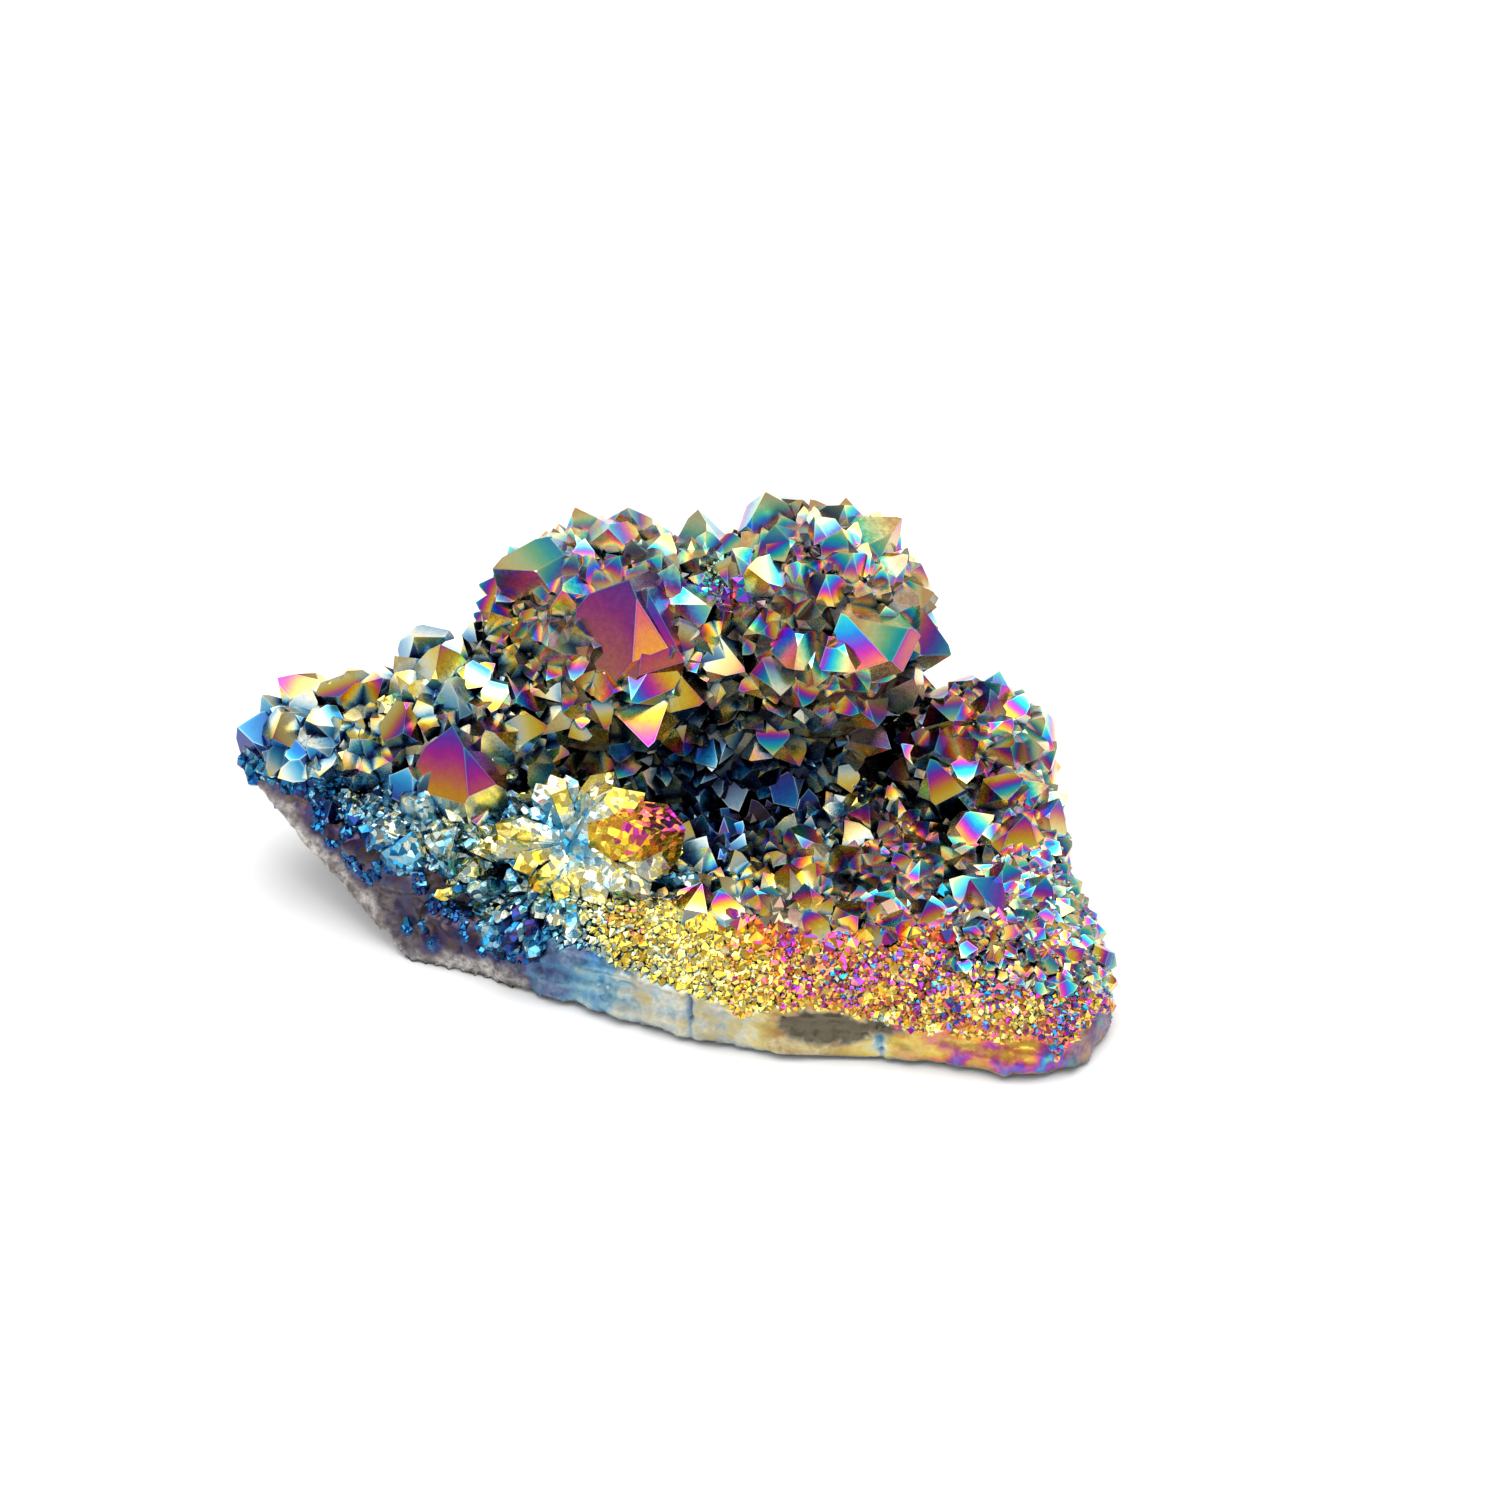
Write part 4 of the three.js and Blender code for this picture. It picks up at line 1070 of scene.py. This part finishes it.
def scattered(count, seed):
    # even picks over the rock's skin by area, each with its normal
    a, b, c = (rockPoints[rockTris[:, k]] for k in range(3))
    size = np.linalg.norm(np.cross(b - a, c - a), axis=1)
    total = np.cumsum(size)
    pick = np.searchsorted(total, (np.arange(count) + 0.5) / count * total[-1])
    s, t = chance(np.arange(count), seed), chance(np.arange(count), seed + 1)
    fold = s + t > 1
    s, t = np.where(fold, 1 - s, s), np.where(fold, 1 - t, t)
    w = 1 - s - t
    spot = a[pick] * w[:, None] + b[pick] * s[:, None] + c[pick] * t[:, None]
    corner = rockTris[pick]
    normal = rockNormals[corner[:, 0]] * w[:, None] + rockNormals[corner[:, 1]] * s[:, None]
    normal = unit(normal + rockNormals[corner[:, 2]] * t[:, None])
    return spot, normal


def placeOf(spot, normal):
    # what grows at each place: 0 nothing, 1 full crystals, 2 fine crust, 3 fluted crust, 4 broken
    # pieces, 5 sparkles, 6 leaf crust, 7 full crystals on the arm and on the right rim; each rule
    # overwrites those before it
    x, y, z = spot.T
    u, v = stationOf(spot)
    ragged = 0.9 * latticeNoise(spot + 9, 2.2)
    front = (normal @ toward > 0.02) & (y < 9)
    kind = np.ones(len(spot), int)
    kind[(z < form["lowestSeat"]) & (normal[:, 2] < 0.6)] = 0
    kind[(x > 42) & (y > -36) & (z < form["lowestSeat"] + 2) & (z > 1.6)] = 2
    behind = (normal @ toward < 0.02) & (z < form["lowestSeat"] + 1) & (z > 1.6 + 1.2 * ragged) & (x > -26)
    kind[behind] = 2
    kind[normal[:, 2] < -0.3] = 0
    slope = front & (above(largeFoot, u, v + 0.5 * ragged) < 0) & (u > -26)
    kind[slope] = 2
    kind[slope & (u < -4) & (v < -8)] = 3
    kind[front & (above(crustFoot, u, v + ragged) < 0) & (u > -28.6)] = 0
    arm = front & (u < -19) & (above(largeFoot, u, v) < 0) & (above(bareTop, u, v) > ragged - 0.6)
    kind[arm] = 4
    kind[arm & (np.hypot(u + 34, v + 1.5) < 3.6)] = 0
    kind[arm & (v < -20)] = 0
    beneath = (u < -19) & (above(bareTop, u, v + ragged) < 0) & (normal @ toward > -0.6) & (y < 8)
    kind[beneath] = 0
    blue = beneath & (latticeNoise(spot + 70, 2.0) > -0.06 * above(bareTop, u, v) - 0.12)
    blue &= above(lowOutline, u, v) > 3
    kind[blue] = 5
    kind[np.hypot(u - 7, v - 27) < 3.6] = 2
    kind[slope & (u > 37) & (v > -26 + 3 * ragged)] = 6
    kind[(kind == 1) & ((u > 33) | (u < -21))] = 7
    return kind


filler = {
    "tries": 9000,
    "seed": 51,
    "widest": 4.6,  # mm
    "room": 0.68,  # between neighbours, as a share of their mean width
    "lean": 0.8,
}


def fillBetween(already):
    # tries places on the rock, wide ones first, and keeps each where the others leave room
    tries, seed = filler["tries"], filler["seed"]
    spot, normal = scattered(tries, seed)
    width = filler["widest"] * (0.42 + 0.58 * chance(np.arange(tries), seed + 2))
    keep = np.isin(placeOf(spot, normal), (1, 7))
    spot, normal, width = spot[keep], normal[keep], width[keep]
    order = np.argsort(-width + 2 * chance(np.arange(len(spot)), seed + 3))
    seats = np.empty((len(already["seat"]) + len(spot), 3))
    widths = np.empty(len(seats))
    used = len(already["seat"])
    seats[:used], widths[:used] = already["seat"], already["width"]
    taken = []
    for k in order:
        room = filler["room"] * (widths[:used] + width[k]) / 2
        if (((seats[:used] - spot[k]) ** 2).sum(axis=1) < room**2).any():
            continue
        seats[used], widths[used] = spot[k], width[k]
        used += 1
        taken.append(k)
    taken = np.array(taken)
    item = 20000 + taken
    spot, width = spot[taken], width[taken]
    axis = normal[taken] + leaned(item, filler["lean"])
    height = width * (0.5 + 0.3 * chance(item, 24))
    coat = coatAt(spot) * (1 + 0.16 * (chance(item, 25) - 0.5))
    return asCrystals(spot, axis, width, height, item, turned(item), coat)


small = joined(between, fillBetween(large))


def thinnedLow(crystals, first):
    # from the first item on, crystals low on the mounds, on the arm and on the right rim are coated
    # thinner by a share of their own coating
    u, v = stationOf(crystals["seat"])
    thin = 0.15 * smooth(27, 12, v) * smooth(-7, 1, v) * smooth(34, 28, u) * smooth(-22, -16, u)
    thin += 0.19 * smooth(-16, -22, u) + 0.09 * smooth(31, 37, u)
    crystals["coat"] = crystals["coat"] * (1 - thin * (crystals["item"] >= first))


thinnedLow(large, 1000)
thinnedLow(small, 600)
print("small crystals:", len(small["seat"]))

# each kind of fine crust: the cube it is thinned to, how tall it stands, how far it leans at random
# and along the fall, and how its coating varies from grain to grain and in patches
crusts = {
    "gapCrust": {
        "kind": 1, "cell": 1.7, "tall": 0.6, "lean": 1.0, "fall": 0, "spread": 0.14, "patches": 0.04,
        "more": -0.12, "coarser": 0, "seed": 61,
    },
    "rimCrust": {
        "kind": 7, "cell": 1.5, "tall": 0.7, "lean": 1.1, "fall": 0, "spread": 0.14, "patches": 0.04,
        "more": -0.06, "coarser": 0, "seed": 111,
    },
    "fineCrust": {
        "kind": 2, "cell": 0.74, "tall": 0.5, "lean": 1.0, "fall": 0.3, "spread": 0.17, "patches": 0.15,
        "more": 0.0, "coarser": 1.3, "seed": 71,
    },
    "flutedCrust": {
        "kind": 3, "cell": 0.75, "tall": 0.8, "lean": 0.8, "fall": 0.9, "spread": 0.12, "patches": 0.06,
        "more": 0.02, "coarser": 1.2, "seed": 81,
    },
    "brokenCrust": {
        "kind": 4, "cell": 1.8, "tall": 0.2, "lean": 1.3, "fall": 0, "spread": 0.10, "patches": 0.08,
        "more": 0.0, "coarser": 0.9, "seed": 91,
    },
    "sparkles": {
        "kind": 5, "cell": 0.75, "tall": 0.4, "lean": 1.6, "fall": 0, "spread": 0.12, "patches": 0.04,
        "more": 0, "coarser": 0, "seed": 95,
    },
    "leafCrust": {
        "kind": 6, "cell": 1.2, "tall": 0.85, "lean": 1.2, "fall": 0.6, "spread": 0.24, "patches": 0.08,
        "more": -0.115, "coarser": 0.4, "seed": 101,
    },
}


brokenShape = {
    "width": (2.0, 3.0),  # mm, the least and what is added
    "height": (0.18, 0.3),  # as shares of the width
    "room": 0.42,  # between neighbours, as a share of their mean width
    "lean": 1.7,
    "face": {"spread": 0.09, "drop": 0.1, "downLoss": 0.25, "upGain": 0.1},
}


def brokenPieces(tries=24000, seed=57):
    # blunt pieces under the arm that lean every way, each where the others leave room
    spot, normal = scattered(tries, seed)
    here = placeOf(spot, normal) == 4
    spot, normal = spot[here], normal[here]
    least, added = brokenShape["width"]
    width = least + added * chance(np.arange(len(spot)), seed + 2) ** 1.4
    taken = []
    for k in np.argsort(-width):
        room = brokenShape["room"] * (width[taken] + width[k]) / 2
        if (((spot[taken] - spot[k]) ** 2).sum(axis=1) >= room**2).all():
            taken.append(k)
    taken = np.array(taken)
    spot, normal, width, item = spot[taken], normal[taken], width[taken], 700000 + taken
    axis = normal + leaned(item, brokenShape["lean"])
    least, added = brokenShape["height"]
    height = width * (least + added * chance(item, 24))
    coat = shellCoatAt(*stationOf(spot)) + 0.02 + 0.09 * (chance(item, 25) - 0.5)
    coat += 0.04 * layeredNoise(spot + 21, 3.2, 2)
    return asCrystals(spot, axis, width, height, item, turned(item), coat)


def coveredBy(points, crystals):
    # which points lie within a crystal's prism
    covered = np.zeros(len(points), bool)
    for seat, axis, width, height in zip(*(crystals[k] for k in ("seat", "axis", "width", "height"))):
        away = points - seat
        along = away @ axis
        aside = (away**2).sum(axis=1) - along**2
        covered |= (aside < (0.56 * width) ** 2) & (np.abs(along) < height)
    return covered


def crust(values, tries=90000):
    # fine grains: one for each small cube of space that the rock's skin passes through; width, height,
    # lean and coating are each a base plus a share that differs from grain to grain
    seed = values["seed"]
    spot, normal = scattered(tries, seed)
    keep = placeOf(spot, normal) == values["kind"]
    spot, normal = spot[keep], normal[keep]
    key = np.floor(spot / values["cell"]).astype(np.int64)
    _, first = np.unique(key @ np.array([1, 4001, 16008001]), return_index=True)
    spot, normal = spot[first], normal[first]
    if values["kind"] in (1, 7):
        free = ~coveredBy(spot, standingAll)
        spot, normal = spot[free], normal[free]
    item = 1000 * seed + np.arange(len(spot))
    u, v = stationOf(spot)
    near = smooth(-7, -1, above(largeFoot, u, v))
    width = values["cell"] * (1.05 + 0.9 * chance(item, 26) ** 2)
    width *= 1 + values["coarser"] * near * smooth(0.7, 0.95, chance(item, 27))
    fall = unit(np.array([0, 0, -1.0]) + normal * normal[:, 2:])
    height = width * values["tall"] * (0.6 + 0.8 * chance(item, 24))
    ownCoats = {
        3: 0.205 + 0.235 * smooth(-22, -7, u + 0.6 * (v + 17)), 4: shellCoatAt(u, v), 5: 0.20 + 0 * u,
    }
    coat = ownCoats[values["kind"]] if values["kind"] in ownCoats else coatAt(spot)
    # the fine crust is even in colour at the left and mixed at the right
    mixed = 0.6 + 0.4 * smooth(-20, -10, u)
    if values["kind"] == 2:
        mixed = 0.4 + 0.8 * smooth(2, 34, u)
    coat = coat + mixed * values["spread"] * (chance(item, 25) - 0.5) + values["more"]
    coat += mixed * values["patches"] * layeredNoise(spot + 21, 3.2, 2)
    axis = normal + leaned(item, values["lean"]) + values["fall"] * fall
    return asCrystals(spot, axis, width, height, item, turned(item), coat)


# the radial growth's blades round one point: angle in degrees from the right, start, reach and width in
# mm, lift in degrees and coating
radial = {
    "centre": np.array([-12.8, -9.8, 14.2]),
    "lean": math.radians(53),
    "blades": [
        [62, 0.4, 8.6, 3.4, 20, 0.42], [36, 0.6, 8.8, 4.2, 22, 0.47], [100, 0.5, 7.4, 1.8, 22, 0.35],
        [112, 0.4, 8.0, 2.0, 26, 0.46], [126, 0.5, 7.8, 2.1, 20, 0.39], [146, 1.0, 6.0, 1.8, 26, 0.33],
        [168, 0.8, 8.6, 2.0, 24, 0.45], [184, 1.2, 9.6, 2.2, 16, 0.40], [204, 1.0, 7.2, 2.0, 28, 0.46],
        [228, 0.8, 7.0, 2.2, 24, 0.47], [250, 0.8, 6.4, 2.0, 22, 0.44], [272, 0.6, 6.2, 2.4, 26, 0.41],
        [292, 0.6, 7.6, 3.0, 22, 0.43], [318, 0.5, 10.2, 3.6, 18, 0.39], [343, 1.4, 9.4, 3.2, 18, 0.44],
        [5, 3.0, 9.8, 5.8, 30, 0.605], [20, 1.0, 6.5, 2.2, 34, 0.46],
    ],
    "grown": 1.25,  # scales start, reach and width
    "chips": 190,
    "thinner": 0.083,  # taken off every coating
    "face": {"upGain": 0.08, "downLoss": 0.12, "spread": 0.09, "drop": 0.36, "dark": 0.1},
}


def radialCrystals():
    # blades and chips that leave the centre at their angle and lift: the axis is
    # (cos angle * across + sin angle * up) * cos lift + out * sin lift; those further out sit on the rock
    up = np.array([0, math.sin(radial["lean"]), math.cos(radial["lean"])])
    out = np.array([0, -math.cos(radial["lean"]), math.sin(radial["lean"])])
    rows = np.array(radial["blades"], float)
    i = np.arange(radial["chips"])
    chips = np.column_stack([
        140 + 250 * chance(i, 61), 0.8 + 10 * chance(i, 62) ** 0.8, 3.0 + 3.0 * chance(i, 63),
        0.8 + 0.9 * chance(i, 64), 10 + 26 * chance(i, 65), 0.32 + 0.14 * chance(i, 66),
    ])
    angle, start, reach, width, lift, coat = np.concatenate([rows, chips]).T
    start, reach, width = (radial["grown"] * each for each in (start, reach, width))
    coat = coat - radial["thinner"]
    angle, lift = np.radians(angle), np.radians(lift)
    flat = np.cos(angle)[:, None] * across + np.sin(angle)[:, None] * up
    axis = flat * np.cos(lift)[:, None] + out * np.sin(lift)[:, None]
    seat = radial["centre"] + flat * start[:, None] + out * (0.5 - 0.16 * start)[:, None]
    near = rockPoints[np.linalg.norm(rockPoints - radial["centre"], axis=1) < 24]
    closest = near[((seat[:, None] - near) ** 2).sum(axis=2).argmin(axis=1)]
    seat += smooth(3, 7, start)[:, None] * (closest + 0.3 * out - seat)
    u, v = stationOf(seat)
    coat = coat - 0.14 * smooth(-11, -17, v) * smooth(-11, -18, u)
    item = 3000000 + np.arange(len(angle))
    return asCrystals(seat, axis, width, reach, item, turned(item), coat)


putMesh("largeCrystals", crystalMesh(large), coated["crystalCoat"])
putMesh("smallCrystals", crystalMesh(small), coated["crystalCoat"])
putMesh("radialGrowth", crystalMesh(radialCrystals(), radial["face"]), coated["bladeCoat"])
putMesh("brokenPieces", crystalMesh(brokenPieces(), brokenShape["face"]), coated["brokenCoat"])
standingAll = joined(large, small)
crustCoats = {"gapCrust": "gapCoat", "brokenCrust": "brokenCoat", "leafCrust": "crystalCoat"}
for name, values in crusts.items():
    grown = crust(values)
    print(name + ":", len(grown["seat"]), "grains")
    shapeOf = crystalMesh if name == "leafCrust" else grainMesh
    putMesh(name, shapeOf(grown), coated[crustCoats.get(name, "grainCoat")])

studio = {
    "floorShade": 0.93,
    "floorReach": 3.0,  # m, each way
    "worldLight": 0.55,
    "lens": 86.0,
    "cameraReach": 0.48,
    "target": Vector((0.0106, -0.0015, 0.0233)),
    # place, size across and along, power
    "softboxes": {
        "keyLeft": [(-0.6, -0.45, 1.15), 1.1, 1.1, 6.0],
        "backRight": [(0.7, 0.75, 0.95), 0.7, 0.5, 3.0],
        "overhead": [(0.1, 0.1, 1.3), 1.7, 1.3, 17.0],
    },
}


def plainFloor():
    # one flat square of paper at height 0
    mesh = bpy.data.meshes.new("floor")
    corners = studio["floorReach"] * np.array([[-1, -1, 0], [1, -1, 0], [1, 1, 0], [-1, 1, 0]])
    mesh.from_pydata(corners.tolist(), [], [(0, 1, 2, 3)])
    material = bpy.data.materials.new("floorPaper")
    material.use_nodes = True
    shader = material.node_tree.nodes["Principled BSDF"]
    shader.inputs["Base Color"].default_value = (*[studio["floorShade"]] * 3, 1)
    shader.inputs["Roughness"].default_value = 0.9
    shader.inputs["Specular IOR Level"].default_value = 0.1
    mesh.materials.append(material)
    floor = bpy.data.objects.new("floor", mesh)
    bpy.context.collection.objects.link(floor)


def softLights():
    # an even white world, and soft boxes that face the target
    world = bpy.data.worlds.new("studio")
    bpy.context.scene.world = world
    world.use_nodes = True
    back = world.node_tree.nodes["Background"]
    back.inputs["Color"].default_value = (1, 1, 1, 1)
    back.inputs["Strength"].default_value = studio["worldLight"]
    for name, (place, sizeX, sizeY, power) in studio["softboxes"].items():
        data = bpy.data.lights.new(name, "AREA")
        data.shape = "RECTANGLE"
        data.size, data.size_y, data.energy = sizeX, sizeY, power
        lamp = bpy.data.objects.new(name, data)
        lamp.location = place
        lamp.rotation_euler = (studio["target"] - Vector(place)).to_track_quat("-Z", "Y").to_euler()
        bpy.context.collection.objects.link(lamp)


def setCamera():
    # the camera stands at target + toward * reach and looks back along it
    data = bpy.data.cameras.new("camera")
    data.lens = studio["lens"]
    data.sensor_width = 36
    data.clip_start, data.clip_end = 0.01, 20
    camera = bpy.data.objects.new("camera", data)
    camera.location = studio["target"] + Vector(toward) * studio["cameraReach"]
    camera.rotation_euler = (-Vector(toward)).to_track_quat("-Z", "Y").to_euler()
    bpy.context.collection.objects.link(camera)
    bpy.context.scene.camera = camera
    bpy.context.scene.view_settings.view_transform = "Standard"


plainFloor()
softLights()
setCamera()
print("studio set")
